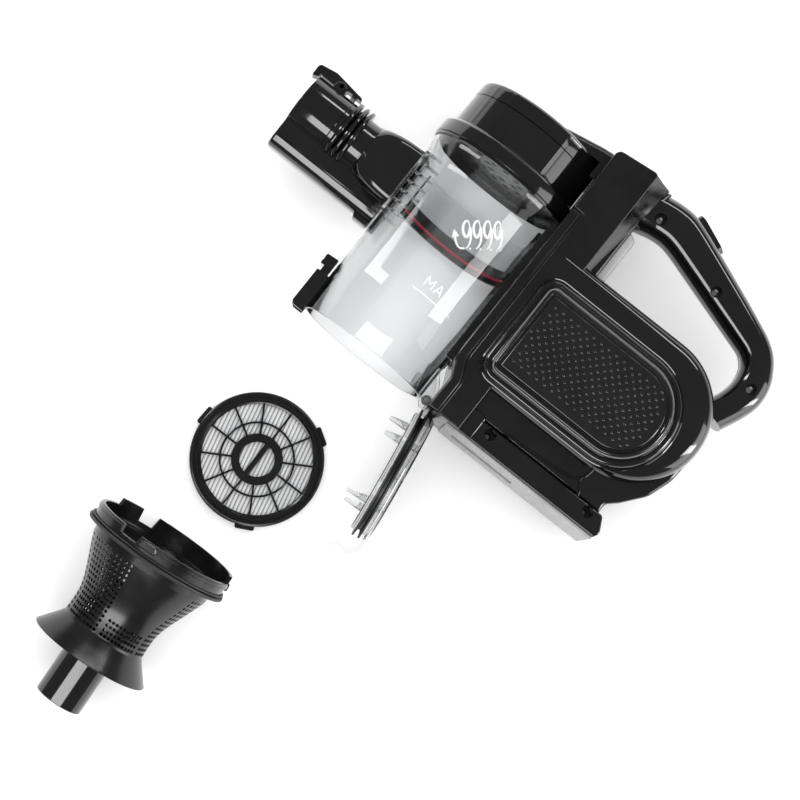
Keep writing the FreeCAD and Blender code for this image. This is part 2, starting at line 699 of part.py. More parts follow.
def door_cover():
    shell = lathe([(0, COVER_LOW), (44.5, COVER_LOW), (48, COVER_LOW + 2.6), (48, SEAL_LOW), (45.6, SEAL_LOW),
                   (45.6, SEAL_LOW - 2.4), (43.8, COVER_LOW + 2.0), (0, COVER_LOW + 2.0)])
    hook = slab([(-42.5, -79.0, 0), (-51.6, -79.4, 2), (-58.6, -72.2, 3), (-55.6, -65.0, 1), (-60.5, -56.2, 0.5),
                 (-59.4, -55.2, 0.5), (-51.6, -63.6, 0), (-51.2, -65.4, 0), (-54.2, -66.6, 1), (-54.8, -69.8, 2),
                 (-50.0, -75.6, 2), (-42.5, -76.4, 0)], -5.5, 5.5)
    hook = hook.cut(lathe([(0, -90), (46.5, -90), (46.5, -60), (0, -60)]))
    return fuse(shell, hook)


def door_hinge():
    arm = slab(plain([(47, -79), (54, -79), (61.4, -70.3), (58.5, -66.5), (55.2, -70), (53.5, -74.2), (47, SEAL_LOW)]),
               -12, 12)
    arm = arm.cut(rod_y(48.0, CUP_X, 0, -90, SEAL_LOW))
    arm = arm.cut(rod_y(DOOR_SEAL_R + 0.02, CUP_X, 0, SEAL_LOW, -60))
    arm = fuse(arm, rod_z(3.6, HINGE_X, HINGE_Y, -13.4, 13.4))
    return arm.cut(rod_z(PIN_R + PIN_CLEAR, HINGE_X, HINGE_Y, -20, 20))


def hinge_pin():
    return rod_z(PIN_R, HINGE_X, HINGE_Y, -18.2, 18.2)


# ---------------------------------------------------------------- nozzle
def tube_solid():
    barrel = rod_x(TUBE_R, INLET_Y, 0, INLET_END_X, -101)
    neck = rod_x(19.2, INLET_Y, 0, -103, -79)
    ribs = []
    for x in (-100.6, -95.5, -90.8):
        rib = rod_x(24.3, INLET_Y, 0, x - 1.7, x + 1.7)
        ribs.append(rib.makeFillet(1.5, [e for e in rib.Edges if e.Curve.TypeId == "Part::GeomCircle"]))
    ring = Part.Wire(Part.makeCircle(19.4, V(-80, INLET_Y, 0), V(1, 0, 0)))
    square = rounded_wire([(-22.3, -22.8, 9), (-22.3, 22.8, 9), (22.3, 22.8, 9), (22.3, -22.8, 9)])
    square.rotate(V(0, 0, 0), V(0, 1, 0), 90)
    square.translate(V(-46.6, INLET_Y + 0.6, 0))
    flare = Part.makeLoft([ring, square], True)
    return fuse(barrel, neck, flare, *ribs)


def inlet_tube():
    body = tube_solid().cut(rod_x(TUBE_BORE_R, INLET_Y, 0, -140, -40))
    ear = slab([(-125, 58, 0), (-124, 66, 2), (-119.8, 68.6, 3.4), (-115.6, 66, 2), (-114, 58, 0)], 6.4, 8.8)
    body = fuse(body, *both_sides(ear))
    body = body.cut(rod_x(TUBE_BORE_R, INLET_Y, 0, -140, -40))
    return body.cut(rod_z(PIN_R, LEVER_PIVOT_X, LEVER_PIVOT_Y, -12, 12))


def inlet_channel():
    duct = slab([(-135, 2.6, 3), (-135, 28, 0), (-46.7, 28, 0), (-46.7, 2.6, 0)], -13, 13)
    duct = duct.cut(box(-132.6, -49.5, 5.0, 15.6, -10.6, 10.6))
    duct = duct.cut(box(-140, -130, 6.0, 14.0, -8.0, 8.0))
    lug = slab([(-60.5, 2.6, 0), (-58.4, -0.8, 0.8), (-47.6, -0.8, 0.8), (-46.8, 2.6, 0)], -9, 9)
    return fuse(duct, lug).cut(tube_solid())


def inlet_terminals():
    block = box(-134.4, -126, 6.0, 14.0, -8.0, 8.0)
    pins = [rod_x(1.2, 10.0, z, -135.4, -134.4) for z in (-4.5, 0, 4.5)]
    return fuse(block, *pins)


def release_lever():
    body = slab([(-141.2, 59.6, 0.4), (-141.2, 68.4, 2.5), (-128, 70.8, 8), (-104.5, 67.6, 2), (-103.2, 66.4, 0),
                 (-103.2, 65.6, 0), (-114, 65.6, 0), (-117.5, 63.1, 0), (-136.8, 63.1, 0), (-136.8, 61.0, 0),
                 (-139.6, 59.6, 0)], -6.0, 6.0)
    body = body.cut(rod_y(2.6, -109.0, 0, 60, 66.4))
    return body.cut(rod_z(PIN_R + PIN_CLEAR, LEVER_PIVOT_X, LEVER_PIVOT_Y, -10, 10))


def lever_pin():
    return rod_z(PIN_R, LEVER_PIVOT_X, LEVER_PIVOT_Y, -8.8, 8.8)


def lever_spring():
    spring = coil(2.2, 0.35, 3.8, 3)
    spring.translate(V(-109.0, INLET_Y + TUBE_R + 0.05, 0))
    return spring


# ---------------------------------------------------------------- shroud, drawn upright about the y axis
def spin(points):
    return lathe(points, 0.0)


def laid(shape):
    """Lay the upright shroud on the table: seal edge and skirt edge both touch it."""
    moved = shape.copy()
    moved.rotate(V(0, 0, 0), V(1, 0, 0), math.degrees(LEAN))
    moved.rotate(V(0, 0, 0), V(0, 0, 1), SHROUD_TURN_DEG)
    moved.translate(V(SHROUD_X, SHROUD_Y, SHROUD_AXIS_Z))
    return moved


def shroud_collar():
    ring = spin([(48.2, 2.6), (50.8, 2.6), (50.8, 7.2), (51.6, 7.6), (51.6, 9.4), (50.8, 9.8), (50.8, 16.0), (48.2, 16.0)])
    foot = spin([(44.6, 1.2), (50.8, 1.2), (50.8, 2.6), (44.6, 2.6)])
    ring = fuse(ring, foot)
    for angle, wide, low in ((62, 15, 9.8), (100, 10, 6.0), (185, 15, 9.8), (262, 12, 6.0), (305, 15, 9.8)):
        gap = box(44, 56, low, 20, -wide / 2, wide / 2)
        gap.rotate(V(0, 0, 0), V(0, 1, 0), angle)
        ring = ring.cut(gap)
    for angle in (20, 140, 232):
        lug = box(50.0, 52.4, 4.6, 7.0, -6, 6)
        lug.rotate(V(0, 0, 0), V(0, 1, 0), angle)
        ring = fuse(ring, lug)
    return ring


def shroud_seal():
    return spin([(46.2, -2.6), (50.4, -2.6), (SHROUD_SEAL_R - 0.6, -1.6), (SHROUD_SEAL_R, 0), (SHROUD_SEAL_R - 1.6, 0.5),
                 (51.6, -0.6), (51.2, -0.2), (52.6, 1.8), (51.4, 2.4), (50.81, 2.0), (50.81, 1.2), (46.2, 1.2)])


SHROUD_OUT = ((45.0, -8), (41.2, -18), (37.0, -28), (33.4, -37), (31.2, -44), (30.4, -50), (30.4, -58), (31.0, -64))


def shroud_cone():
    outer = [(46.2, -2.6), (46.2, 1.2), (44.6, 1.2)]
    inner = [(r - 2.0, y) for r, y in SHROUD_OUT]
    shell = spin([(45.0, -2.6), (46.2, -2.6), (46.2, 1.2), (42.6, 1.2), (42.8, -4)] + inner
                 + list(reversed(SHROUD_OUT)) + [(45.6, -4.5)])
    holes = []
    for row in range(13):
        y = -8.5 - 4.3 * row
        for k in range(36):
            angle = 10.0 * k + (5.0 if row % 2 else 0.0)
            in_panel = min(abs(angle - 285 + 360 * n) for n in (-1, 0, 1)) < 28 and y > -48
            if in_panel or k % 12 == 11:
                continue
            hole = rod_x(1.25, y, 0, 24, 50)
            hole.rotate(V(0, 0, 0), V(0, 1, 0), angle)
            holes.append(hole)
    return shell.cut(holes[0].multiFuse(holes[1:]))


def shroud_skirt():
    return spin([(17.25, -66.0), (28.8, -64.0), (31.0, -64.0), (32.6, -66.4), (38.0, -73.0), (SKIRT_R, SKIRT_Y),
                 (SKIRT_R - 1.4, SKIRT_Y - 1.0), (36.4, -74.6), (30.4, -67.6), (17.25, -68.4)])


def shroud_tube():
    return spin([(15.2, SHROUD_TUBE_END), (SHROUD_TUBE_R, SHROUD_TUBE_END), (SHROUD_TUBE_R + 0.05, -60),
                 (SHROUD_TUBE_R + 0.05, -30), (15.2, -30)])


# ---------------------------------------------------------------- filter, drawn flat about the z axis
def filter_at(shape):
    moved = shape.copy()
    moved.rotate(V(0, 0, 0), V(0, 0, 1), FILTER_TURN_DEG)
    moved.translate(V(FILTER_X, FILTER_Y, -REST_HALF))
    return moved


def ring_z(r0, r1, z0, z1):
    return rod_z(r1, 0, 0, z0, z1).cut(rod_z(r0, 0, 0, z0 - 1, z1 + 1))


def filter_frame():
    top = FILTER_H
    rim = ring_z(FILTER_R - 8.2, FILTER_R, top - 5.0, top)
    rim = rim.makeFillet(1.6, [e for e in rim.Edges if abs(e.BoundBox.ZMin - top) < 1e-6
                               and abs(e.BoundBox.ZMax - top) < 1e-6 and e.BoundBox.XLength > 2 * FILTER_R - 4])
    middle = ring_z(25.2, 26.4, top - 2.8, top - 0.8)
    centre = ring_z(12.2, 18.0, top - 3.4, top - 0.2)
    spokes = []
    for k in range(12):
        spoke = box(17.0, FILTER_R - 7.0, -0.7, 0.7, top - 2.8, top - 0.8)
        spoke.rotate(V(0, 0, 0), V(0, 0, 1), 30 * k)
        spokes.append(spoke)
    bar = box(-1.8, 1.8, -17, 17, top - 3.4, top - 0.2)
    lug_line = [(-7, FILTER_R - 6, 0), (-7, FILTER_R + 2.4, 2), (7, FILTER_R + 2.4, 2), (7, FILTER_R - 6, 0)]
    lugs = []
    for k in range(3):
        lug = slab(lug_line, top - 5.0, top - 2.4)
        lug.rotate(V(0, 0, 0), V(0, 0, 1), 120 * k - 33)
        lugs.append(lug)
    return fuse(rim, middle, centre, bar, *spokes, *lugs)


def filter_media():
    fold_low = FILTER_H - 6.8
    fold_top = FILTER_H - 3.5
    zigzag = []
    count = int(2 * (FILTER_R - 1.5) / PLEAT_PITCH)
    start = -count * PLEAT_PITCH / 2
    for k in range(count):
        zigzag.append((start + k * PLEAT_PITCH, fold_low))
        zigzag.append((start + (k + 0.5) * PLEAT_PITCH, fold_top))
    zigzag.append((start + count * PLEAT_PITCH, fold_low))
    corners = [V(x, -60, z) for x, z in zigzag] + [V(-start, -60, 2.4), V(start, -60, 2.4)]
    block = Part.Face(Part.makePolygon(corners + [corners[0]])).extrude(V(0, 120, 0))
    block.rotate(V(0, 0, 0), V(0, 0, 1), PLEAT_LEAN_DEG)
    inside = rod_z(FILTER_R - 2.2, 0, 0, 2.4, FILTER_H - 5.0).fuse(rod_z(FILTER_R - 8.2, 0, 0, 2.4, fold_top))
    return block.common(inside)


def filter_case():
    wall = ring_z(FILTER_R - 2.2, FILTER_R - 0.6, 1.6, FILTER_H - 5.0)
    floor = ring_z(FILTER_R - 6.0, FILTER_R - 0.6, 1.6, 2.4)
    return fuse(wall, floor)


def filter_gasket():
    return ring_z(FILTER_R - 5.0, FILTER_R - 0.6, 0.0, 1.6)


# ---------------------------------------------------------------- everything
def all_parts():
    left, right = housing()
    panel = side_panel()
    trim = panel_trim()
    parts = {
        "housing_left": left,
        "housing_right": right,
        "side_panel_left": panel,
        "side_panel_right": both_sides(panel)[1],
        "panel_trim_left": trim,
        "panel_trim_right": both_sides(trim)[1],
        "housing_screws": housing_screws(),
        "base_plate": base_plate(),
        "base_contact": base_contact(),
        "dock_contacts": dock_contacts(),
        "motor_collar": motor_collar(),
        "motor_cover": motor_cover(),
        "head_fairing": head_fairing(),
        "intake_grille": intake_grille(),
        "motor_can": motor_can(),
        "motor_mount": motor_mount(),
        "motor_stator": stator(),
        "rotor_shaft": rotor_shaft(),
        "impeller": impeller(),
        "battery_cells": battery_cells(),
        "battery_holder": battery_holder(),
        "bms_board": bms_board(),
        "control_board": control_board(),
        "power_strip": power_strip(),
        "power_button": power_button(),
        "power_spring": power_spring(),
        "mode_button": mode_button(),
        "mode_spring": mode_spring(),
        "trigger": trigger(),
        "trigger_spring": trigger_spring(),
        "dust_cup": dust_cup(),
        "cup_seal": cup_seal(),
        "guide_band": guide_band(),
        "red_seal": red_seal(),
        "air_guide": air_guide(),
        "latch_guide": latch_guide(),
        "door_latch": door_latch(),
        "latch_spring": latch_spring(),
        "hinge_pin": hinge_pin(),
        "door_plate": opened(door_plate()),
        "door_seal": opened(door_seal()),
        "door_cover": opened(door_cover()),
        "door_hinge": opened(door_hinge()),
        "inlet_tube": inlet_tube(),
        "inlet_channel": inlet_channel(),
        "inlet_terminals": inlet_terminals(),
        "release_lever": release_lever(),
        "lever_pin": lever_pin(),
        "lever_spring": lever_spring(),
        "shroud_collar": laid(shroud_collar()),
        "shroud_seal": laid(shroud_seal()),
        "shroud_cone": laid(shroud_cone()),
        "shroud_skirt": laid(shroud_skirt()),
        "shroud_tube": laid(shroud_tube()),
        "filter_frame": filter_at(filter_frame()),
        "filter_media": filter_at(filter_media()),
        "filter_case": filter_at(filter_case()),
        "filter_gasket": filter_at(filter_gasket()),
    }
    return parts


def row_shift(parts):
    """Carry the drawing to the stored frame: middle of the footprint, table at z = 0."""
    x = [limit for s in parts.values() for limit in (s.optimalBoundingBox().XMin, s.optimalBoundingBox().XMax)]
    y = [limit for s in parts.values() for limit in (s.optimalBoundingBox().YMin, s.optimalBoundingBox().YMax)]
    z = [s.optimalBoundingBox().ZMin for s in parts.values()]
    return V(-(min(x) + max(x)) / 2, -(min(y) + max(y)) / 2, -min(z))


def main():
    os.makedirs("parts", exist_ok=True)
    parts = all_parts()
    shift = row_shift(parts)
    for name, shape in parts.items():
        placed = shape.copy()
        placed.translate(shift)
        placed.exportStep("parts/" + name + ".step")


if __name__ == "__main__":
    main()
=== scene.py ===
"""Looks of the laid-out handheld vacuum: finishes on the CAD frame, and detailed pieces over it.
Shapes are drawn in the part's own millimetres: x nozzle to handle, y door to motor, z = 0 the mid-plane."""
import bpy
import bmesh
import math
from mathutils import Matrix, Vector


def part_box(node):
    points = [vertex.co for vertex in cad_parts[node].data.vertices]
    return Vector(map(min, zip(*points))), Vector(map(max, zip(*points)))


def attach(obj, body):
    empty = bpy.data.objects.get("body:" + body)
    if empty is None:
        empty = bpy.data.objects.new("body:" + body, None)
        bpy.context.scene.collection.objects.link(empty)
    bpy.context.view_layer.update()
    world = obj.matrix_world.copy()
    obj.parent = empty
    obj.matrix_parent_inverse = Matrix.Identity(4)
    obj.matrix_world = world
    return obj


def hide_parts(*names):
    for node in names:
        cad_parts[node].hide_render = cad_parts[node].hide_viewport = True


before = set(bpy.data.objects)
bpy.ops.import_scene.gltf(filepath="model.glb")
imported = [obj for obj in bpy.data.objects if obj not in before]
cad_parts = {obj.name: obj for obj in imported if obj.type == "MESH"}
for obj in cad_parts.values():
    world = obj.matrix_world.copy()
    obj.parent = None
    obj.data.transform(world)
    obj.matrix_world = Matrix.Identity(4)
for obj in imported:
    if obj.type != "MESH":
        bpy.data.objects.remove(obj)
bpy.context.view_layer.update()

# ---------------------------------------------------------------- frame
MM = 0.001
CUP_X = 4.2         # axis of the cup and the motor head
COLLAR_Y0 = 81.0    # end of the motor collar that meets the cup
REST_HALF = 55.4    # the mid-plane's height above the table
SIDES = ((1, "left"), (-1, "right"))
COLLAR_LOW, COLLAR_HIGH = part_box("motor_collar")
ORIGIN = Vector(((COLLAR_LOW.x + COLLAR_HIGH.x) / 2 - CUP_X * MM, COLLAR_LOW.y - COLLAR_Y0 * MM,
                 (COLLAR_LOW.z + COLLAR_HIGH.z) / 2))
VACUUM = Matrix.Translation(ORIGIN) @ Matrix.Scale(MM, 4)


def turned(axis, degrees):
    return Matrix.Rotation(math.radians(degrees), 4, axis)


def moved(x, y, z):
    return Matrix.Translation((x, y, z))


SEAL_R, SKIRT_R, SKIRT_Y = 53.6, 43.4, -80.0
LEAN = math.atan2(SEAL_R - SKIRT_R, -SKIRT_Y)
SHROUD_AT = moved(-18.8, -262.0, SEAL_R * math.cos(LEAN) - REST_HALF)
SHROUD = VACUUM @ SHROUD_AT @ turned("Z", 4.2) @ turned("X", math.degrees(LEAN))
FILTER = VACUUM @ moved(-7.7, -167.6, -REST_HALF) @ turned("Z", 1.0)
CUP_AXIS = VACUUM @ moved(CUP_X, 0, 0)


# ---------------------------------------------------------------- materials
def material(name, colour, rough, **sockets):
    made = bpy.data.materials.new(name + "_look")
    made.use_nodes = True
    shader = made.node_tree.nodes["Principled BSDF"]
    shader.inputs["Base Color"].default_value = (*colour, 1)
    shader.inputs["Roughness"].default_value = rough
    for socket, value in sockets.items():
        shader.inputs[socket.replace("_", " ")].default_value = value
    return made


def link(made, source, target):
    made.node_tree.links.new(source, target)


def noise(made, scale, detail):
    nodes = made.node_tree.nodes
    place = nodes.new("ShaderNodeTexCoord")
    texture = nodes.new("ShaderNodeTexNoise")
    texture.inputs["Scale"].default_value = scale
    texture.inputs["Detail"].default_value = detail
    link(made, place.outputs["Object"], texture.inputs["Vector"])
    return texture.outputs["Fac"]


def spread(made, source, low, high):
    """Stretch the middle of a noise over the range low to high."""
    ranged = made.node_tree.nodes.new("ShaderNodeMapRange")
    ranged.inputs["From Min"].default_value = 0.3
    ranged.inputs["From Max"].default_value = 0.7
    ranged.inputs["To Min"].default_value = low
    ranged.inputs["To Max"].default_value = high
    link(made, source, ranged.inputs["Value"])
    return ranged.outputs["Result"]


def bumped(made, source, depth):
    bump = made.node_tree.nodes.new("ShaderNodeBump")
    bump.inputs["Strength"].default_value = 1.0
    bump.inputs["Distance"].default_value = depth
    link(made, source, bump.inputs["Height"])
    link(made, bump.outputs["Normal"], made.node_tree.nodes["Principled BSDF"].inputs["Normal"])


def tinted(made, source, dark, light):
    """Colour that drifts between two tones over the surface."""
    mix = made.node_tree.nodes.new("ShaderNodeMix")
    mix.data_type = "RGBA"
    mix.inputs["A"].default_value = (*dark, 1)
    mix.inputs["B"].default_value = (*light, 1)
    link(made, source, mix.inputs["Factor"])
    link(made, mix.outputs["Result"], made.node_tree.nodes["Principled BSDF"].inputs["Base Color"])


def moulded(name, dark, light, rough, grain, depth, **sockets):
    """Injection-moulded plastic: slow drift in tone and gloss, fine grain in the surface."""
    made = material(name, light, rough[0], **sockets)
    drift = spread(made, noise(made, 38, 3), 0, 1)
    tinted(made, drift, dark, light)
    gloss = spread(made, noise(made, 120, 5), *rough)
    link(made, gloss, made.node_tree.nodes["Principled BSDF"].inputs["Roughness"])
    bumped(made, noise(made, grain, 2), depth)
    return made


def clear(name, colour, rough):
    """See-through plastic, with an index low enough that a thin wall keeps quiet."""
    made = material(name, colour, rough, Transmission_Weight=1.0, IOR=1.36)
    fine = spread(made, noise(made, 60, 3), rough, rough + 0.03)
    link(made, fine, made.node_tree.nodes["Principled BSDF"].inputs["Roughness"])
    return made


GLOSS = moulded("black_gloss", (0.003, 0.003, 0.0032), (0.006, 0.006, 0.0065), (0.07, 0.12), 900, 0.00001,
                Coat_Weight=0.5, Coat_Roughness=0.05)
SATIN = moulded("black_satin", (0.004, 0.004, 0.0044), (0.008, 0.008, 0.0085), (0.18, 0.25), 1500, 0.00002)
PANEL = moulded("panel_grip", (0.005, 0.005, 0.0054), (0.009, 0.009, 0.0094), (0.10, 0.16), 1800, 0.00001,
                Coat_Weight=0.5, Coat_Roughness=0.05)
# Trim: mid grey with a coat, partly painted highlight, lighter than the trim's own dark grey so the panel's edge bead
# shows the bright reflected line
TRIM_PAINTED_HIGHLIGHT = moulded("trim_bright", (0.30, 0.30, 0.305), (0.38, 0.38, 0.385), (0.12, 0.2), 900, 0.00001, Coat_Weight=0.4)
GREY = moulded("light_grey", (0.42, 0.42, 0.43), (0.52, 0.52, 0.53), (0.35, 0.45), 1300, 0.00003)
RUBBER = moulded("black_rubber", (0.008, 0.008, 0.008), (0.018, 0.018, 0.018), (0.45, 0.6), 1500, 0.00004)
RED = moulded("red_line", (0.30, 0.004, 0.03), (0.42, 0.006, 0.05), (0.35, 0.45), 1200, 0.00002)
CLEAR = clear("clear_plastic", (0.775, 0.782, 0.786), 0.02)
SMOKE = clear("smoke_plastic", (0.93, 0.935, 0.94), 0.08)
PRINT = moulded("white_print", (0.86, 0.86, 0.86), (0.95, 0.95, 0.95), (0.4, 0.5), 900, 0.00001)
PLEAT = moulded("pleat_white", (0.60, 0.61, 0.62), (0.74, 0.74, 0.74), (0.75, 0.9), 2500, 0.00008)
STEEL = moulded("steel", (0.42, 0.42, 0.44), (0.60, 0.60, 0.62), (0.22, 0.34), 1400, 0.00002, Metallic=1.0)
COPPER = moulded("copper", (0.55, 0.24, 0.12), (0.72, 0.34, 0.18), (0.25, 0.38), 1600, 0.00004, Metallic=1.0)
BOARD = moulded("board_green", (0.01, 0.09, 0.04), (0.02, 0.16, 0.07), (0.3, 0.45), 900, 0.00003)
CELL = moulded("cell_wrap", (0.02, 0.10, 0.28), (0.03, 0.16, 0.40), (0.25, 0.35), 700, 0.00001)
BY_SLOT = {"black_gloss": GLOSS, "black_satin": SATIN, "panel_grip": PANEL, "trim_bright": TRIM_PAINTED_HIGHLIGHT, "light_grey": GREY,
           "clear_plastic": CLEAR, "smoke_plastic": SMOKE, "red_line": RED, "black_rubber": RUBBER,
           "pleat_white": PLEAT, "steel": STEEL, "spring_steel": STEEL, "copper": COPPER, "board_green": BOARD,
           "motor_alloy": STEEL, "iron_core": STEEL, "cell_wrap": CELL, "impeller_grey": GREY}


def finish_frame():
    """Give every CAD node the finish of its slot."""
    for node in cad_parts.values():
        for place in node.material_slots:
            slot = place.material.name.split(".")[0] if place.material else ""
            place.material = BY_SLOT.get(slot, SATIN)


# ---------------------------------------------------------------- shapes
MERGE_M = 3e-6       # points nearer than this become one
SHARP_DEG = 34       # edges sharper than this keep a crease


def solid_mesh(name, shape, place, drop_slivers=True):
    """Closed mesh of a shape, in metres, with its faces turned outwards."""
    mesh = bpy.data.meshes.new(name)
    mesh.from_pydata([place @ p for p in shape.points], [], shape.faces)
    work = bmesh.new()
    work.from_mesh(mesh)
    bmesh.ops.remove_doubles(work, verts=work.verts, dist=MERGE_M)
    if drop_slivers:
        bmesh.ops.dissolve_degenerate(work, edges=work.edges, dist=1e-6)
    bmesh.ops.recalc_face_normals(work, faces=work.faces)
    work.to_mesh(mesh)
    work.free()
    return mesh


class Shape:
    """Vertices and faces gathered from several closed forms, in millimetres."""

    def __init__(self):
        self.points = []
        self.faces = []

    def add(self, points, faces, place=Matrix()):
        base = len(self.points)
        self.points += [place @ Vector(p) for p in points]
        self.faces += [tuple(base + i for i in face) for face in faces]
        return self

    def skin(self, rings, closed=False, place=Matrix()):
        """A surface through equal rings: closed joins the last ring to the first, else both ends are capped."""
        n = len(rings[0])
        m = len(rings)
        faces = []
        for j in range(m if closed else m - 1):
            for i in range(n):
                a, b = j * n + i, j * n + (i + 1) % n
                c, d = ((j + 1) % m) * n + (i + 1) % n, ((j + 1) % m) * n + i
                faces.append((a, b, c, d))
        if not closed:
            faces.append(tuple(range(n)))
            faces.append(tuple((m - 1) * n + i for i in range(n)))
        return self.add([p for ring in rings for p in ring], faces, place)

    def lathe(self, profile, steps=128, place=Matrix(), ripple=None):
        """Closed (radius, height) profile turned about y; ripple(angle, r, y) may change the radius."""
        rings = []
        for k in range(steps):
            angle = 2 * math.pi * k / steps
            ring = []
            for r, y in profile:
                far = ripple(math.degrees(angle), r, y) if ripple else r
                ring.append((far * math.cos(angle), y, -far * math.sin(angle)))
            rings.append(ring)
        return self.skin(rings, closed=True, place=place)

    def plate(self, outline, profile, place=Matrix(), hollow=False):
        """Outline raised through (inset, z) steps; hollow leaves it a ring that closes on itself."""
        rings = [[(x, y, z) for x, y in offset(outline, inset)] for inset, z in profile]
        return self.skin(rings, closed=hollow, place=place)

    def sweep(self, path, section, up=(0, 0, 1), place=Matrix()):
        """Section of (side, up) points carried along a path of points."""
        rings = []
        for k, point in enumerate(path):
            ahead = Vector(path[min(k + 1, len(path) - 1)]) - Vector(path[max(k - 1, 0)])
            side = ahead.normalized().cross(Vector(up)).normalized()
            over = side.cross(ahead.normalized())
            rings.append([Vector(point) + side * a + over * b for a, b in section])
        return self.skin(rings, place=place)

    def done(self, name, look, body="vacuum", place=VACUUM, replaces=(), sharp=SHARP_DEG):
        """Put the shape in the scene as a piece that rides on a body."""
        mesh = solid_mesh(name, self, place)
        mesh.shade_smooth()
        mesh.set_sharp_from_angle(angle=math.radians(sharp))
        mesh.materials.append(look)
        made = bpy.data.objects.new(name, mesh)
        made.visible_shadow = look not in (CLEAR, SMOKE)
        bpy.context.scene.collection.objects.link(made)
        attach(made, body)
        if replaces:
            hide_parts(*replaces)
        return made


def offset(outline, inset):
    """Closed outline moved inwards; the points run anticlockwise."""
    if abs(inset) < 1e-9:
        return list(outline)
    moved_in = []
    n = len(outline)
    for i in range(n):
        before = (Vector(outline[i]) - Vector(outline[i - 1])).normalized()
        after = (Vector(outline[(i + 1) % n]) - Vector(outline[i])).normalized()
        way = (before + after).normalized()
        normal = Vector((-way.y, way.x))
        stretch = 1 / max(0.5, normal.dot(Vector((-after.y, after.x))))
        moved_in.append(tuple(Vector(outline[i]) + normal * inset * stretch))
    return moved_in


def rounded(points, steps=6):
    """Outline with each (x, y, radius) corner turned into an arc."""
    made = []
    n = len(points)
    for i in range(n):
        x, y, r = points[i]
        corner = Vector((x, y))
        if r <= 0:
            made.append((x, y))
            continue
        u = (Vector(points[i - 1][:2]) - corner).normalized()
        w = (Vector(points[(i + 1) % n][:2]) - corner).normalized()
        half = u.angle(w) / 2
        start = corner + u * (r / math.tan(half))
        end = corner + w * (r / math.tan(half))
        centre = corner + (u + w).normalized() * (r / math.sin(half))
        sweep = math.pi - 2 * half
        count = max(2, int(steps * sweep / 1.2) + 1)
        a0 = math.atan2(start.y - centre.y, start.x - centre.x)
        turn = math.atan2(end.y - centre.y, end.x - centre.x) - a0
        turn = (turn + math.pi) % (2 * math.pi) - math.pi
        for k in range(count + 1):
            angle = a0 + turn * k / count
            made.append((centre.x + r * math.cos(angle), centre.y + r * math.sin(angle)))
    return made


def anticlockwise(outline):
    pairs = zip([outline[-1]] + list(outline), outline)
    area = sum(a[0] * b[1] - b[0] * a[1] for a, b in pairs)
    return list(outline) if area > 0 else list(reversed(outline))


def circle(steps):
    return [(math.cos(2 * math.pi * k / steps), math.sin(2 * math.pi * k / steps)) for k in range(steps)]


def flip(z_side):
    return Matrix.Scale(z_side, 4, (0, 0, 1))


# ---------------------------------------------------------------- side panels
PANEL_HALF = 54.4
DOT_PITCH, ROW_PITCH = 6.42, 3.24
DOT_RINGS = ((1.25, 54.3), (1.15, 54.75), (0.85, 55.15), (0.4, 55.38))   # radius and height


def band_outline():
    return rounded([(203.0, 47.8, 40.0), (70.0, 47.8, 13.0), (70.0, -35.3, 13.0), (203.0, -35.3, 40.0)], 14)


def dot_places():
    """Staggered rows of dots; the middle rows hold one dot more."""
    for row in range(15):
        start = 87.2 + (3.2 if row % 2 else 0) - (DOT_PITCH if row == 7 else 0)
        count = 16 if row in (4, 6, 7, 8, 10) else 15
        for k in range(count):
            yield start + DOT_PITCH * k, -15.7 + ROW_PITCH * row


def side_panels():
    border = [(7.6, 49), (7.6, 52.9), (7.9, 53.5), (8.6, 53.9), (9.8, 53.9), (10.4, 53.4), (10.9, 53.0), (11.6, 53.1),
              (11.9, 53.6), (12.2, 54.0), (12.5, 54.25), (12.8, PANEL_HALF)]
    bead = [(6.6, 49.5), (6.6, 52.3), (6.75, 52.8), (7.0, 53.1), (7.3, 52.9), (7.5, 52.5), (7.5, 49.5)]
    for side, name in SIDES:
        panel = Shape().plate(anticlockwise(band_outline()), border, flip(side))
        for x, y in dot_places():
            rings = [[(x + r * a, y + r * b, z) for a, b in circle(10)] for r, z in DOT_RINGS]
            panel.skin(rings, place=flip(side))
        panel.done("grip_panel_" + name, PANEL, replaces=["side_panel_" + name])
        # the bead round the panel is painted light grey, a painted highlight standing in for the reflection along its
        # rounded edge
        trim = Shape().plate(anticlockwise(band_outline()), bead, flip(side), hollow=True)
        trim.done("panel_bead_" + name, TRIM_PAINTED_HIGHLIGHT, replaces=["panel_trim_" + name])


# ---------------------------------------------------------------- filter
FILTER_R = 47.0
FLAT = turned("X", 90)


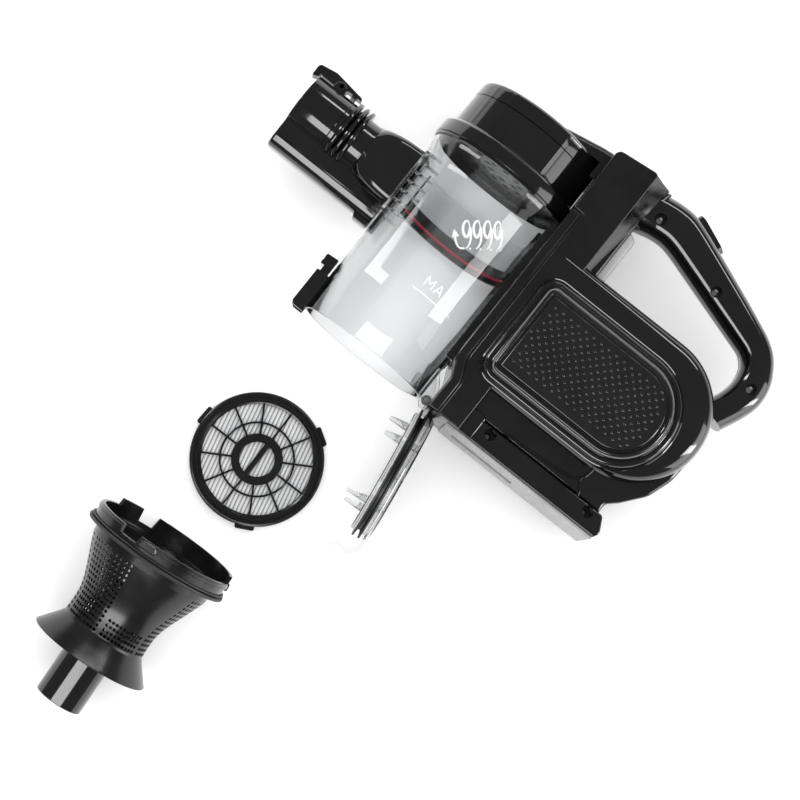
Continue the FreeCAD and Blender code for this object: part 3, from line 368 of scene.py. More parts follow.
def filter_cartridge():
    rim = [(FILTER_R - 8.2, 5.2), (FILTER_R, 5.2), (FILTER_R, 8.6), (46.6, 9.5), (45.6, 10.0), (44.4, 10.0),
           (43.9, 9.5), (43.2, 9.5), (42.7, 10.0), (41.2, 10.0), (40.6, 9.4), (39.6, 8.8), (38.8, 8.6)]
    hub = [(12.2, 6.8), (18.0, 6.8), (18.0, 9.3), (17.5, 9.8), (12.8, 9.8), (12.2, 9.3)]
    web = [(25.1, 7.1), (26.5, 7.1), (26.5, 8.9), (26.1, 9.2), (25.5, 9.2), (25.1, 8.9)]
    frame_piece = Shape()
    for profile in (rim, hub, web):
        frame_piece.lathe(profile, 96, FLAT)
    spoke = [(-0.7, -0.9), (0.7, -0.9), (0.7, 0.6), (0.35, 1.0), (-0.35, 1.0), (-0.7, 0.6)]
    for k in range(12):
        way = Vector((math.cos(math.radians(30 * k)), math.sin(math.radians(30 * k)), 0))
        frame_piece.sweep([way * 17.0 + Vector((0, 0, 8.2)), way * 39.6 + Vector((0, 0, 8.2))], spoke)
    bar = [(-2.0, -1.4), (2.0, -1.4), (2.0, 1.0), (1.4, 1.6), (-1.4, 1.6), (-2.0, 1.0)]
    frame_piece.sweep([(0, -13, 8.2), (0, 13, 8.2)], bar)
    for angle in (-33, 87, 207):
        tab = rounded([(-7, 44, 0), (7, 44, 0), (7, 49.4, 1.6), (-7, 49.4, 1.6)])
        frame_piece.plate(tab, [(0.3, 5.0), (0, 5.3), (0, 7.2), (0.4, 7.6)], turned("Z", angle))
        for x in (-3.2, 3.2):
            notch = rounded([(x - 0.9, 46.2, 0), (x + 0.9, 46.2, 0), (x + 0.9, 48.6, 0.4), (x - 0.9, 48.6, 0.4)])
            frame_piece.plate(notch, [(0, 7.4), (0.2, 8.2)], turned("Z", angle))
    frame_piece.done("filter_rim", SATIN, "filter", FILTER, ["filter_frame"])
    pleats()
    wall = [(41.0, 1.7), (46.4, 1.7), (46.4, 4.9), (45.0, 4.9), (45.0, 2.3), (41.0, 2.3)]
    Shape().lathe(wall, 96, FLAT).done("filter_shell", GREY, "filter", FILTER, ["filter_case"])
    foot = [(42.2, 0.0), (45.8, 0.0), (46.4, 0.5), (46.4, 1.2), (45.9, 1.6), (42.0, 1.6), (42.0, 0.3)]
    Shape().lathe(foot, 96, FLAT).done("filter_foot", RUBBER, "filter", FILTER, ["filter_gasket"])


def pleats():
    """Pleated paper: one sheet folded in a wave, trimmed to the rim's inside."""
    pitch, reach, top, low = 2.8, 40.0, 6.4, 3.1
    lean = turned("Z", 12.5)
    count = int(2 * reach / pitch)
    line = []
    for k in range(count * 8 + 1):
        phase = k / 8
        crown = 1 - (2 * (phase % 1) - 1) ** 6
        x = -reach + phase * pitch
        line.append((x, low + (top - low) * crown))
    paper = Shape()
    rings = []
    for x, z in line:
        half = math.sqrt(max(0.0, reach * reach - x * x)) + 0.2
        steps = 24
        ring = [(x, half * (2 * s / steps - 1), z) for s in range(steps + 1)]
        ring += [(x, half * (1 - 2 * s / steps), 2.5) for s in range(steps + 1)]
        rings.append(ring)
    paper.skin(rings, place=lean)
    paper.done("pleated_paper", PLEAT, "filter", FILTER, ["filter_media"], sharp=50)


# ---------------------------------------------------------------- shroud
CONE_WALL = 1.8
HOLE_R = 1.28
CONE_LINE = [(45.0, -8), (43.2, -13), (41.2, -18), (39.1, -23), (37.0, -28), (35.1, -32.5), (33.4, -37), (32.1, -41),
             (31.2, -44.5), (30.6, -48), (30.4, -52), (30.4, -58), (30.6, -61.5)]


def cone_radius(y):
    for (r0, y0), (r1, y1) in zip(CONE_LINE, CONE_LINE[1:]):
        if y0 >= y >= y1:
            return r0 + (r1 - r0) * (y0 - y) / (y0 - y1)
    return CONE_LINE[0][0] if y > CONE_LINE[0][1] else CONE_LINE[-1][0]


def is_open(angle, y):
    """True where the cone is perforated: six panels above, a band all round below, ribs left solid."""
    near_rib = abs((angle - 265) % 60 - 30) > 26.8
    blank = 265 < angle < 324 and y > -47.8
    return not near_rib and not blank


def shroud_cone():
    """Perforated wall: a grid of cells, each with a round hole cut through both faces."""
    columns = 66
    heights = [-8.0 - 3.62 * k for k in range(16)]
    cone = Shape()
    for y0, y1 in zip(heights, heights[1:]):
        for k in range(columns):
            a0 = 360 * k / columns
            holed = is_open((a0 + 180 / columns) % 360, (y0 + y1) / 2)
            cell(cone, a0, 360 * (k + 1) / columns, y0, y1, holed)
    top = [(45.0, -2.6), (46.1, -2.6), (46.1, 1.1), (42.8, 1.1), (43.2, -4), (43.2, -8), (45.0, -8)]
    low = [(28.6, heights[-1]), (30.6, heights[-1]), (30.9, -64.0), (28.8, -64.0)]
    cone.lathe(top)
    cone.lathe(low)
    cone.done("shroud_mesh_cone", SATIN, "shroud", SHROUD, ["shroud_cone"])


def on_cone(angle, y, inset):
    r = cone_radius(y) - inset
    return (r * math.cos(math.radians(angle)), y, -r * math.sin(math.radians(angle)))


def cell(cone, a0, a1, y0, y1, holed):
    """One patch of the wall, 8 points round its border, with or without a hole."""
    am, ym = (a0 + a1) / 2, (y0 + y1) / 2
    border = [(a0, y0), (am, y0), (a1, y0), (a1, ym), (a1, y1), (am, y1), (a0, y1), (a0, ym)]
    outer = [on_cone(a, y, 0) for a, y in border]
    inner = [on_cone(a, y, CONE_WALL) for a, y in border]
    if not holed:
        cone.add(outer, [tuple(range(8))])
        cone.add(inner, [tuple(reversed(range(8)))])
        return
    wide = math.degrees(HOLE_R / cone_radius(ym))
    rim = []
    for a, y in border:
        across, along = (a - am) / (a1 - am), (y - ym) / (y1 - ym)
        size = math.hypot(across, along)
        rim.append((am + wide * across / size, ym + math.copysign(HOLE_R, y1 - ym) * along / size))
    out_rim = [on_cone(a, y, 0) for a, y in rim]
    in_rim = [on_cone(a, y, CONE_WALL) for a, y in rim]
    points = outer + out_rim + in_rim + inner
    faces = []
    for i in range(8):
        n = (i + 1) % 8
        faces += [(i, n, 8 + n, 8 + i), (8 + i, 8 + n, 16 + n, 16 + i), (16 + i, 16 + n, 24 + n, 24 + i)]
    cone.add(points, faces)


def shroud():
    shroud_cone()
    seal = [(46.2, -2.5), (50.2, -2.5), (53.0, -1.8), (SEAL_R - 0.1, -0.7), (SEAL_R - 0.3, 0.2),
            (52.3, 0.5), (51.7, -0.2), (51.3, 0.1), (51.6, 0.8), (52.6, 1.5), (52.4, 2.2), (51.6, 2.5),
            (50.85, 2.1), (50.85, 1.2), (46.2, 1.2)]
    Shape().lathe(seal).done("shroud_lip_seal", RUBBER, "shroud", SHROUD, ["shroud_seal"])
    skirt = [(17.3, -66.2), (28.8, -64.0), (30.9, -64.0), (31.6, -65.0), (33.4, -67.6), (36.0, -71.0), (39.2, -75.0),
             (42.4, -79.0), (43.3, -80.0), (43.1, -80.7), (42.2, -81.0), (38.6, -76.9), (35.0, -72.6), (31.8, -69.2),
             (29.6, -68.2), (17.3, -68.4)]
    Shape().lathe(skirt).done("shroud_flared_skirt", SATIN, "shroud", SHROUD, ["shroud_skirt"])
    tube = [(15.2, -119.0), (16.6, -119.0), (17.1, -118.5), (17.2, -60), (17.2, -30.5), (15.2, -30)]
    Shape().lathe(tube).done("shroud_exit_tube", GLOSS, "shroud", SHROUD, ["shroud_tube"])
    collar()


def collar():
    """Bayonet ring: an upright wall broken by slots, with a bead round it and lugs on it."""
    steps = 240
    rings = []
    for k in range(steps):
        angle = 360 * k / steps
        tall = angle < 108 or 122 < angle < 147
        window = 238 < angle < 254
        high = 16.0 if tall else 5.2 if window else 11.0 if angle > 147 else 7.0
        profile = [(44.8, 1.2), (50.7, 1.2), (50.7, 4.0), (50.7, min(7.0, high - 0.6)), (51.6, min(7.5, high - 0.5)),
                   (51.6, min(9.3, high - 0.4)), (50.8, min(9.8, high - 0.3)), (50.8, high - 0.2), (50.5, high),
                   (48.6, high), (48.3, high - 0.3), (48.3, 2.6), (44.8, 2.6)]
        a = math.radians(angle)
        rings.append([(r * math.cos(a), y, -r * math.sin(a)) for r, y in profile])
    ring = Shape().skin(rings, closed=True)
    for angle in (12, 135, 264):
        lug = rounded([(-7, 5.0, 1.5), (7, 5.0, 1.5), (5, 10.4, 1.5), (-5, 10.4, 1.5)])
        ring.plate(lug, [(0, 50.2), (0, 51.9), (0.6, 52.4)], turned("Y", angle + 90))
    ring.done("shroud_bayonet_ring", SATIN, "shroud", SHROUD, ["shroud_collar"])


# ---------------------------------------------------------------- housing shells
SPINE_HALF = 45.0
POD_HALF = 47.0
BRACKET_HALF = 36.0
SEAM = 0.06          # gap between the two shells, each side
EDGE_STEPS = 5
# screw wells: x, y, and how far the shell reaches from the mid-plane there
WELLS = ((107.0, 128.5, 17.0), (167.0, 113.2, 17.0), (226.4, 75.5, 17.0), (106.0, -61.5, 36.0), (188.6, -61.5, 36.0))


def edge(high, round_by):
    """Side wall from the seam up, rolled over into the top by a quarter circle."""
    made = [(0.25, SEAM), (0.0, SEAM + 0.3)]
    for k in range(EDGE_STEPS + 1):
        turn = math.pi / 2 * k / EDGE_STEPS
        made.append((round_by * (1 - math.cos(turn)), high - round_by + round_by * math.sin(turn)))
    return made


def spine_parts(side):
    """Upright back of the cup: a narrow strip and a broad face with a groove between them."""
    strip = rounded([(54.6, 92.0, 0), (54.6, -33, 14), (61.2, -47, 14), (61.2, -72.8, 0), (68.9, -72.8, 0),
                     (68.9, -47.5, 14), (62.0, -31.5, 14), (62.0, 92.0, 0)], 8)
    broad = rounded([(54.6, 142.4, 5.0), (54.6, 92.6, 0), (62.5, 92.6, 0), (62.5, -31.0, 14), (69.4, -47.0, 14),
                     (69.4, -72.8, 0), (86.8, -72.8, 0), (86.8, 146.1, 3.0)], 8)
    core = anticlockwise(rounded([(55.5, -34, 2), (61.9, -48, 6), (61.9, -72.4, 0), (86, -72.4, 0), (86, 144.4, 3),
                                  (55.5, 141.0, 4)]))
    made = Shape().plate(core, edge(43.6, 1.0), flip(side))
    made.plate(anticlockwise(strip), edge(44.6, 1.6), flip(side))
    made.plate(anticlockwise(broad), edge(SPINE_HALF, 1.1), flip(side))
    rail = rounded([(49.7, -38.5, 0.8), (55.2, -38.5, 0), (55.2, 78, 0), (49.7, 78, 0.8)])
    made.plate(anticlockwise(rail), [(0.3, 30.0), (0, 30.3), (0, 34.4), (0.5, 35.0)], flip(side))
    return made


def pod_parts(side):
    outline = anticlockwise(rounded([(223.0, 68.0, 52.2), (66.0, 68.0, 0), (66.0, -37.0, 0), (223.0, -37.0, 52.2)], 22))
    crown = [(0.3, SEAM), (0, 0.5), (0, 30.0), (0.25, 34.0), (1.0, 38.0), (2.3, 41.4), (4.2, 44.0), (6.8, 45.9),
             (10.0, 46.8), (14.0, POD_HALF), (17.0, POD_HALF)]
    made = Shape().plate(outline, crown, flip(side))
    ridge = [(-1.2, 46.4), (-0.9, 47.3), (-0.3, 47.6), (0.1, 47.2), (0.5, 47.2), (0.8, 49.0), (1.5, 50.6), (2.6, 51.4),
             (3.6, 51.5), (4.4, 51.2), (4.7, 50.6), (5.2, 50.5), (5.6, 51.0), (6.0, 51.2), (6.3, 51.0), (6.5, 50.0),
             (6.5, 46.4)]
    made.plate(anticlockwise(band_outline()), ridge, flip(side), hollow=True)
    return made


def recess_floor(side):
    """Glossy hollow between the pod and the foot bar."""
    neck = anticlockwise(rounded([(80, 10, 0), (222.4, 10, 0), (221.0, -10, 20), (215.0, -27.5, 20),
                                  (202.5, -43, 10), (195.5, -49.5, 4), (195.5, -57, 0), (80, -57.0, 0)], 8))
    return Shape().plate(neck, edge(32, 3.0), flip(side))


def foot_parts(side):
    """Foot bar along the base."""
    bar = anticlockwise(rounded([(80, -72.8, 0), (80, -57.2, 0), (96.0, -57.2, 0), (198.5, -57.2, 3),
                                 (204.3, -68, 4), (201.8, -72.8, 1.6)], 8))
    return Shape().plate(bar, edge(BRACKET_HALF, 1.4), flip(side))


def recess_ribs(side):
    """Curved ribs moulded into the recess, and the corner block beside the spine."""
    made = Shape()
    rib = [(-1.0, -0.6), (1.0, -0.6), (1.0, 0.2), (0.5, 0.7), (-0.5, 0.7), (-1.0, 0.2)]
    lines = (((112, -54.4), (135, -53.0), (158, -50.8), (168, -48.6), (172.5, -44.5), (174, -39), (174.2, -36.5)),
             ((170.8, -46.2), (173.0, -49.5), (175.6, -53.5), (177.0, -57.0)))
    for line in lines:
        made.sweep([(x, y, 32.2) for x, y in smooth(line, 6)], rib, place=flip(side))
    block = anticlockwise(rounded([(86.4, -72.4, 0), (86.4, -54.4, 1), (91, -53.4, 2), (97.0, -55.0, 1.5),
                                   (97.0, -72.4, 0)]))
    made.plate(block, [(0, 30), (0, 36.6), (0.5, 37.2)], flip(side))
    return made


def smooth(points, steps):
    """Points along a curve that passes through the given ones."""
    made = []
    for i in range(len(points) - 1):
        p0, p1 = Vector(points[max(i - 1, 0)]), Vector(points[i])
        p2, p3 = Vector(points[i + 1]), Vector(points[min(i + 2, len(points) - 1)])
        for k in range(steps):
            t = k / steps
            made.append(tuple(0.5 * ((2 * p1) + (p2 - p0) * t + (2 * p0 - 5 * p1 + 4 * p2 - p3) * t * t
                                     + (3 * p1 - p0 - 3 * p2 + p3) * t ** 3)))
    return made + [tuple(points[-1])]


# stations of the grip: outer x, outer y, inner x, inner y, half thickness
GRIP = ((86, 145.4, 88, 112.0, 19.6), (95, 146.9, 95, 113.0, 19.0), (104, 148.2, 101.5, 114.5, 18.2),
        (114, 149.4, 108.0, 116.2, 17.4), (124, 149.2, 117.5, 117.2, 17.0), (133, 147.0, 127.0, 115.6, 17.0),
        (150, 140.6, 144.5, 110.4, 17.0), (170, 132.6, 163.5, 104.6, 17.0), (190, 124.6, 182.0, 99.0, 17.0),
        (205, 118.2, 197.0, 94.4, 17.0), (216, 113.2, 206.5, 91.2, 17.0), (225.5, 106.6, 211.8, 86.4, 17.0),
        (232.5, 98.0, 214.0, 80.5, 17.0), (237.4, 88.6, 214.6, 74.0, 17.0), (239.6, 78.0, 213.4, 66.5, 17.0),
        (239.0, 67.6, 210.4, 58.5, 17.0), (235.0, 56.0, 206.4, 51.5, 17.0), (228.5, 42.0, 203.0, 46.5, 17.0))


def grip(side):
    """Hand loop: one smooth bar whose section is a rounded oval, flatter on its sides."""
    line = smooth(GRIP, 5)
    rings = []
    for xo, yo, xi, yi, half in line:
        outer, inner = Vector((xo, yo)), Vector((xi, yi))
        middle, reach = (outer + inner) / 2, (outer - inner) / 2
        ring = [(*(middle + reach * 0.985), SEAM)]
        for k in range(17):
            turn = math.pi * k / 16
            c, s = math.cos(turn), math.sin(turn)
            across = math.copysign(abs(c) ** 0.62, c)
            high = s ** 0.80
            lean = 0.10 * math.sin(2 * turn)
            point = middle + reach * max(-1.0, min(1.0, across - lean * 0.35))
            ring.append((*point, SEAM + 0.3 + (half - SEAM - 0.3) * high))
        ring.append((*(middle - reach * 0.985), SEAM))
        rings.append(ring)
    return Shape().skin(rings, place=flip(side))


def gusset(side):
    """Sloping web between the spine and the hand loop."""
    left = [(85.5, 50.0, 40.0), (85.5, 75.0, 42.5), (85.5, 100.0, 43.0), (85.5, 125.0, 43.0), (85.5, 145.4, 42.0)]
    right = [(88.0, 54.0, 34.0), (90.5, 75.0, 26.0), (93.5, 100.0, 21.5), (96.5, 125.0, 20.0), (99.0, 147.0, 19.6)]
    rings = []
    for a, b in zip(smooth(left, 5), smooth(right, 5)):
        a, b = Vector(a), Vector(b)
        sag = Vector((0.8, 0, -1.6))
        rings.append([(a.x, a.y, SEAM), tuple(a), tuple((a * 2 + b) / 3 + sag), tuple((a + b * 2) / 3 + sag), tuple(b),
                      (b.x + 1.0, b.y, b.z - 1.6), (b.x + 1.0, b.y, SEAM)])
    made = Shape().skin(rings, place=flip(side))
    cheek = anticlockwise(rounded([(86, 50, 0), (97.2, 62, 3), (97.2, 120, 3), (103, 147.0, 0), (86, 145.0, 0)], 8))
    made.plate(cheek, edge(17.6, 3.0), flip(side))
    return made


def drilled(obj, side):
    """Cut the screw wells out of a shell piece."""
    tool = Shape()
    for x, y, half in WELLS:
        well = [(0, 10.0), (3.75, 10.0), (3.75, half - 0.6), (4.3, half + 0.2), (4.3, 50.0), (0, 50.0)]
        tool.lathe(well, 28, flip(side) @ moved(x, y, 0) @ turned("X", 90))
    cutter = bpy.data.objects.new("well_tool", solid_mesh("well_tool", tool, VACUUM, drop_slivers=False))
    bpy.context.scene.collection.objects.link(cutter)
    cut = obj.modifiers.new("wells", "BOOLEAN")
    cut.object = cutter
    cut.solver = "EXACT"
    bpy.context.view_layer.update()
    whole = bpy.data.meshes.new_from_object(obj.evaluated_get(bpy.context.evaluated_depsgraph_get()))
    obj.modifiers.clear()
    obj.data = whole
    whole.set_sharp_from_angle(angle=math.radians(SHARP_DEG))
    bpy.data.objects.remove(cutter)


def housing():
    for side, name in SIDES:
        shell = "housing_" + name
        spine_parts(side).done("spine_" + name, SATIN, replaces=[shell])
        pod_parts(side).done("pod_" + name, GLOSS)
        foot = foot_parts(side).done("foot_bar_" + name, GLOSS)
        drilled(foot, side)
        recess_floor(side).done("recess_" + name, GLOSS)
        recess_ribs(side).done("recess_ribs_" + name, GLOSS)
        loop = grip(side).done("grip_" + name, GLOSS, sharp=60)
        drilled(loop, side)
        gusset(side).done("gusset_" + name, SATIN)
    screws()


def screws():
    made = Shape()
    for x, y, half in WELLS:
        head = [(0.0, 9.0), (2.9, 9.0), (2.9, 10.6), (2.5, 11.2), (1.4, 11.5), (0.0, 11.55)]
        made.lathe(head, 24, moved(x, y, 0) @ turned("X", 90))
        for turn in (0, 90):
            slot = rounded([(-1.9, -0.35, 0.3), (1.9, -0.35, 0.3), (1.9, 0.35, 0.3), (-1.9, 0.35, 0.3)], 3)
            made.plate(anticlockwise(slot), [(0, 11.3), (0.1, 11.75)], moved(x, y, 0) @ turned("Z", turn + 45))
    made.done("screw_heads", STEEL, replaces=["housing_screws"])


# ---------------------------------------------------------------- motor head
RIDGES = (218.0, 238.0, 291.0, 338.0)    # angles of the cap's ribs
FACES = ((292.5, 336.0, 0.9), (240.0, 289.5, 0.55))    # start, end and depth of its set-back faces


def head_ripple(angle, r, y):
    """Faces of the cap sit back between pairs of raised ribs; only the side wall is shaped."""
    if r < 44 or not 97 < y < 127.5:
        return r
    for mirror in (1, -1):
        facing = (mirror * angle) % 360
        for start, end, deep in FACES:
            if start < facing < end:
                soft = min(1.0, (facing - start) / 2.0, (end - facing) / 2.0)
                return r - deep * soft
        for ridge in RIDGES:
            away = abs(facing - ridge)
            if away < 1.5:
                return r - (0.5 if away < 0.45 else 0.0)
    return r - 0.25


def motor_head():
    wall = [(47.6, 92.0), (50.0, 92.0), (50.0, 97.2), (50.0, 98.0), (50.0, 112.0), (50.0, 118.6), (49.4, 119.0),
            (50.0, 119.4), (50.0, 126.6), (49.8, 127.4), (49.2, 129.0), (48.2, 130.2), (46.4, 131.0)]
    top = [(40.0, 131.0), (39.6, 130.6), (39.2, 131.0), (36.5, 131.0), (36.0, 130.0), (18.0, 130.0), (17.5, 131.0),
           (3.0, 131.0), (0.0, 131.0), (0.0, 128.6), (45.4, 128.6), (47.6, 126.0)]
    cover = Shape().lathe(wall + top, 240, ripple=head_ripple)
    grille = [(-0.7, -0.5), (0.7, -0.5), (0.7, 0.3), (0.4, 0.6), (-0.4, 0.6), (-0.7, 0.3)]
    for k in range(24):
        a = math.radians(15 * k)
        way = Vector((math.cos(a), 0, -math.sin(a)))
        cover.sweep([way * 17.8 + Vector((0, 130.3, 0)), way * 36.2 + Vector((0, 130.3, 0))], grille, up=(0, 1, 0))
    cover.done("motor_cap", GLOSS, place=CUP_AXIS, replaces=["motor_cover"], sharp=28)
    ring = [(53.9, 81.0), (54.6, 81.0), (54.9, 81.3), (54.9, 82.2), (54.5, 82.5), (54.5, 82.9), (55.2, 83.2),
            (55.4, 83.5), (55.4, 92.2), (55.25, 92.6), (52.6, 95.1), (52.1, 95.4), (51.6, 95.5), (50.1, 95.5),
            (50.1, 92.0), (46.0, 92.0), (46.0, 89.6), (53.9, 89.6)]
    Shape().lathe(ring, 200).done("motor_collar_ring", GLOSS, place=CUP_AXIS, replaces=["motor_collar"], sharp=28)


# ---------------------------------------------------------------- dust cup
PRINT_R = 50.06      # the marks lie just clear of the cup's wall
PRINT_THICK = 0.12
ROLL_DEG = 38.5      # turn of the layout in the view, and of the swirl sign on the cup


def ribbon(path, wide):
    """A printed stroke laid on the cup's round wall; path is (x, y) on the side that faces up."""
    low, high = PRINT_R, PRINT_R + PRINT_THICK
    rings = []
    for k in range(len(path)):
        a, b = Vector(path[max(k - 1, 0)]), Vector(path[min(k + 1, len(path) - 1)])
        way = (b - a).normalized()
        normal = Vector((-way.y, way.x)) * (wide[k] if isinstance(wide, list) else wide) / 2
        ring = []
        for point, r in ((Vector(path[k]) + normal, low), (Vector(path[k]) + normal, high),
                         (Vector(path[k]) - normal, high), (Vector(path[k]) - normal, low)):
            angle = math.asin(max(-1, min(1, (point.x - CUP_X) / low)))
            ring.append((CUP_X + r * math.sin(angle), point.y, r * math.cos(angle)))
        rings.append(ring)
    return rings


def tilted(u, v):
    """Place on the cup of a mark that is level in the view."""
    c, s = math.cos(math.radians(ROLL_DEG)), math.sin(math.radians(ROLL_DEG))
    return 16.4 + u * c - v * s, 37.2 + u * s + v * c


def prints():
    """White marks on the cup: a fill line with MAX above it, and a rising air-swirl sign."""
    marks = Shape()
    letters = (((9.0, -12.5), (9.0, -5.2), (11.8, -10.0), (14.6, -5.2), (14.6, -12.5)),
               ((17.0, -12.5), (19.6, -5.2), (22.2, -12.5)), ((18.0, -10.2), (21.2, -10.2)),
               ((24.4, -12.5), (29.6, -5.2)), ((24.4, -5.2), (29.6, -12.5)))
    for letter in letters:
        for a, b in zip(letter, letter[1:]):
            marks.skin(ribbon([tuple(Vector(a).lerp(Vector(b), t / 4)) for t in range(5)], 1.0))
    marks.skin(ribbon([(4.0 + 3.2 * k, -17.6) for k in range(11)], 0.9))
    for k in range(4):
        loop = smooth([(2.2, 3.2), (1.6, 7.2), (0.0, 8.6), (-1.9, 6.4), (-2.4, 2.4), (-1.4, -1.2), (0.2, -2.2),
                       (1.8, 0.4), (2.5, 4.2), (2.9, 0.0), (2.6, -4.6), (1.2, -8.2), (-0.8, -10.0)], 3)
        wide = [0.4 + 1.5 * math.sin(math.pi * s / (len(loop) - 1)) ** 0.7 for s in range(len(loop))]
        marks.skin(ribbon([tilted(u + 7.1 * k - 8.0, v) for u, v in loop], wide))
        marks.skin(ribbon([tilted(7.1 * k - 5.6, v) for v in (-10.4, -9.8, -9.2)], 1.3))
    tail = smooth([(-9.4, -9.8), (-12.6, -9.4), (-14.9, -6.4), (-15.8, -1.6)], 4)
    marks.skin(ribbon([tilted(u, v) for u, v in tail], 1.3))
    marks.skin(ribbon([tilted(u, v) for u, v in ((-15.4, -2.2), (-15.9, 0.4), (-16.4, 2.8))], [5.2, 2.6, 0.3]))
    marks.done("cup_markings", PRINT, sharp=60)


def dust_cup():
    wall = [(47.8, -68.2), (48.2, -68.3), (49.6, -68.3), (50.0, -67.9), (50.0, -20.0), (50.0, 61.0), (50.2, 63.0),
            (50.6, 66.0), (51.3, 69.0), (52.3, 72.2), (53.1, 75.2), (53.5, 78.4), (53.6, 81.0), (53.6, 87.6),
            (53.2, 88.0), (51.6, 88.0), (51.4, 87.4), (51.4, 81.0), (51.2, 78.2), (50.7, 75.4), (49.9, 72.4),
            (49.0, 69.2), (48.4, 66.0), (48.0, 63.0), (47.8, 60.5), (47.8, -20.0)]
    cup = Shape().lathe(wall, 160, place=moved(CUP_X, 0, 0))
    cup.done("cup_wall", CLEAR, replaces=["dust_cup"], sharp=50)
    socket = Shape()
    socket_frame(socket)
    socket.done("cup_socket", CLEAR, sharp=40)
    ears = Shape()
    for side in (1, -1):
        ear = anticlockwise(rounded([(44, -46, 0.5), (53, -46, 2), (60, -56, 3), (63.2, -66, 2), (62.6, -70.4, 3),
                                     (57.4, -72.6, 3), (53.8, -68.2, 0.4), (48.6, -68.0, 0.4)], 8))
        ears.plate(ear, [(0.3, 14.0), (0, 14.3), (0, 17.2), (0.3, 17.5)], flip(side))
    ears.done("cup_hinge_ears", CLEAR, sharp=40)


def socket_frame(socket):
    """Clear frame that the nozzle's flare plugs into: a border, ribs on its sides and a tab below."""
    border = anticlockwise(rounded([(25.0, 65.0, 5), (-25.0, 65.0, 5), (-25.0, 13.6, 5), (25.0, 13.6, 5)], 8))
    rings = [[(x, b, a) for a, b in offset(border, inset)] for inset, x in
             ((0.0, -46.2), (0.4, -46.6), (1.6, -46.6), (2.0, -46.2), (2.0, -43.8), (0.0, -43.8))]
    socket.skin(rings, closed=True)
    for side in (1, -1):
        for k in range(7):
            y = 16.4 + 7.75 * k
            deep = -20.0 - 3.0 * abs(k - 3) / 3
            fin = anticlockwise(rounded([(-44.2, y, 0), (-33.5, y, 0.4), (deep - 9.5, y + 0.8, 0.3),
                                         (-33.5, y + 1.6, 0.4), (-44.2, y + 1.6, 0)], 3))
            socket.plate(fin, [(0.1, 19.6), (0, 19.8), (0, 23.6), (0.2, 24.0)], flip(side))
    tab = anticlockwise(rounded([(-46.6, 14.5, 0), (-46.6, -0.6, 0.6), (-44.2, -0.6, 0.6), (-43.0, 14.5, 0)], 4))
    socket.plate(tab, [(0.3, -13.0), (0, -12.7), (0, 12.7), (0.3, 13.0)])


# ---------------------------------------------------------------- inlet
INLET_Y = 41.5
DUCT_Y = 14.0


def flare_ring(x, size, power):
    """Section of the nozzle at x: power 2 is round, and a higher one is squarer."""
    ring = []
    for k in range(64):
        c, s = math.cos(2 * math.pi * k / 64), math.sin(2 * math.pi * k / 64)
        far = size / (abs(c) ** power + abs(s) ** power) ** (1 / power)
        ring.append((x, INLET_Y + far * c, far * s))
    return ring


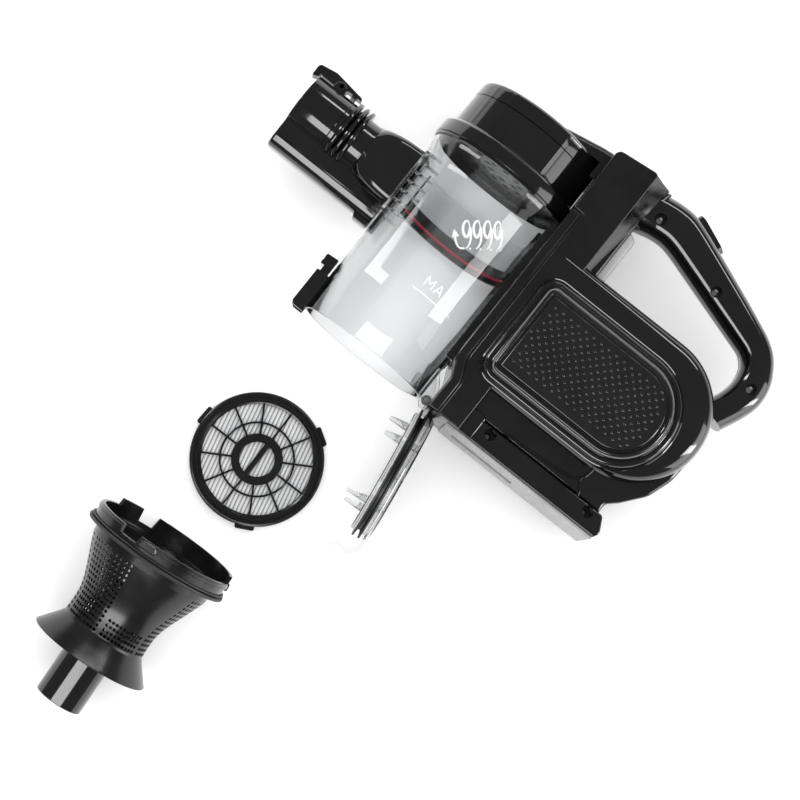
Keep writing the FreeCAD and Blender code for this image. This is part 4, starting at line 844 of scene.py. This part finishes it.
def inlet():
    """Nozzle spigot with three grip rings, its square flare, and the cable duct under it."""
    barrel = [(17.0, 135.6), (20.2, 135.6), (20.8, 135.3), (21.0, 134.8), (21.0, 106.2), (20.7, 105.8), (21.0, 105.4),
              (21.0, 102.7)]
    for x in (100.6, 95.5, 90.8):
        barrel += [(20.6, x + 1.8), (22.6, x + 1.7), (23.8, x + 1.2), (24.3, x + 0.4), (24.3, x - 0.4),
                   (23.8, x - 1.2), (22.6, x - 1.7), (19.4, x - 1.8)]
    barrel += [(19.2, 88.4), (19.2, 80.6), (19.8, 80.4), (19.8, 79.6), (17.0, 79.6)]
    spigot = Shape().lathe(barrel, 120, moved(0, INLET_Y, 0) @ turned("Z", 90))
    rings = []
    for k in range(13):
        t = k / 12
        ease = 1 - (1 - t) ** 2.2
        rings.append(flare_ring(-80.0 + 33.4 * t, 19.5 + 3.3 * ease, 2.0 + 4.6 * ease))
    rings += [flare_ring(-46.6, 17.0, 2.0), flare_ring(-80.0, 17.0, 2.0)]
    spigot.skin(rings, closed=True)
    for side in (1, -1):
        ear = anticlockwise(rounded([(-125, 58, 0), (-124, 66, 2), (-119.8, 68.6, 3.4), (-115.6, 66, 2),
                                     (-114, 58, 0)], 6))
        spigot.plate(ear, [(0, 6.4), (0, 8.4), (0.4, 8.8)], flip(side))
        seam = [(-134.8, 23.4), (-81.5, 23.4), (-77.5, 22.2), (-72.5, 20.4), (-66.0, 19.2), (-50.5, 19.0)]
        bead = [(-0.35, -0.4), (0.35, -0.4), (0.35, 0.2), (0, 0.5), (-0.35, 0.2)]
        spigot.sweep([(x, y, 13.1) for x, y in smooth(seam, 5)], bead, place=flip(side))
    spigot.done("inlet_spigot", GLOSS, replaces=["inlet_tube"])
    half = [(27.0, 13.0), (11.6, 13.0), (11.2, 13.3), (10.6, 13.3), (10.2, 12.9), (8.6, 12.5), (6.6, 11.6), (4.8, 10.2),
            (3.5, 8.4), (2.8, 6.4), (2.6, 4.4)]
    section = half + [(y, -z) for y, z in reversed(half)]
    mouth = [(min(14.15, max(5.85, y)), min(8.15, max(-8.15, z))) for y, z in section]
    rings = [[(-126.0, y, z) for y, z in mouth], [(-134.9, y, z) for y, z in mouth]]
    for x, shrink in ((-135.0, 0.94), (-134.4, 0.985), (-133.4, 1.0), (-47.3, 1.0), (-46.7, 0.97)):
        rings.append([(x, DUCT_Y + (y - DUCT_Y) * shrink, z * shrink) for y, z in section])
    duct = Shape().skin(rings)
    lug = anticlockwise(rounded([(-60.5, 3.4, 0), (-58.4, -0.8, 0.8), (-47.6, -0.8, 0.8), (-46.8, 3.4, 0)], 6))
    for side in (1, -1):
        duct.plate(lug, [(0, SEAM), (0, 8.2), (0.3, 8.8), (0.8, 9.0)], flip(side))
    duct.done("inlet_duct", GLOSS, replaces=["inlet_channel"])


# ---------------------------------------------------------------- room
FLOOR_HALF = 4       # metres
VIEW_WIDE = 544.0    # width of the layout that the camera takes in, mm
# area lights, all aimed at the middle: name, place, size, watts
LAMPS = (("door_side", (0.0, -0.95, 1.30), (1.4, 0.75), 24), ("nozzle_side", (-1.5, 0.2, 0.85), (0.22, 1.2), 10),
         ("handle_side", (1.55, 0.3, 0.85), (0.22, 1.2), 10), ("handle_box", (1.5, 0.25, 0.45), (1.1, 1.2), 12),
         ("motor_side", (0.0, 1.6, 0.9), (1.4, 0.2), 7))


def studio():
    world = bpy.data.worlds.new("studio")
    bpy.context.scene.world = world
    world.use_nodes = True
    world.node_tree.nodes["Background"].inputs["Color"].default_value = (1, 1, 1, 1)
    world.node_tree.nodes["Background"].inputs["Strength"].default_value = 0.22
    bpy.context.scene.view_settings.view_transform = "Standard"
    floor = bpy.data.meshes.new("floor")
    corners = [(x * FLOOR_HALF, y * FLOOR_HALF, 0) for x, y in ((-1, -1), (1, -1), (1, 1), (-1, 1))]
    floor.from_pydata(corners, [], [(0, 1, 2, 3)])
    sheet = bpy.data.objects.new("floor", floor)
    bpy.context.scene.collection.objects.link(sheet)
    sheet.data.materials.append(material("floor", (0.93, 0.93, 0.93), 0.6, Emission_Strength=0.28))


def lamp(name, place, size, power):
    """Soft box that only shows in reflections, so it doesn't whiten the floor seen through the cup."""
    data = bpy.data.lights.new(name, "AREA")
    data.shape = "RECTANGLE"
    data.size, data.size_y = size
    data.energy = power
    light = bpy.data.objects.new(name, data)
    light.location = place
    light.rotation_euler = (-Vector(place)).to_track_quat("-Z", "Y").to_euler()
    light.visible_diffuse = False
    light.visible_transmission = False
    bpy.context.scene.collection.objects.link(light)


def camera():
    """Stands over the layout, leaning a little to the door's side, rolled so the nozzle points up and left."""
    aim = VACUUM @ Vector((44.4, -77.6, 0))
    distance, tilt, roll = 1.75, math.radians(5.6), math.radians(ROLL_DEG)
    back = Vector((0, -math.sin(tilt), math.cos(tilt)))
    level = Vector((1, 0, 0))
    upward = back.cross(level)
    right = level * math.cos(roll) + upward * math.sin(roll)
    up = back.cross(right)
    data = bpy.data.cameras.new("camera")
    data.sensor_width = 36
    data.lens = data.sensor_width * distance / (VIEW_WIDE * MM)
    seen = bpy.data.objects.new("camera", data)
    seen.matrix_world = Matrix.Translation(aim + back * distance) @ Matrix((right, up, back)).transposed().to_4x4()
    bpy.context.scene.collection.objects.link(seen)
    bpy.context.scene.camera = seen


def lights():
    """Even sky for the floor, and soft boxes that the glossy plastics mirror."""
    sky = bpy.data.lights.new("sky_fill", "SUN")
    sky.energy = 3.0
    sky.angle = math.radians(100)
    over = bpy.data.objects.new("sky_fill", sky)
    over.rotation_euler = (math.radians(-8), math.radians(6), 0)
    over.visible_glossy = False
    bpy.context.scene.collection.objects.link(over)
    for row in LAMPS:
        lamp(*row)


studio()
camera()
lights()
side_panels()
filter_cartridge()
shroud()
housing()
motor_head()
dust_cup()
prints()
inlet()
finish_frame()
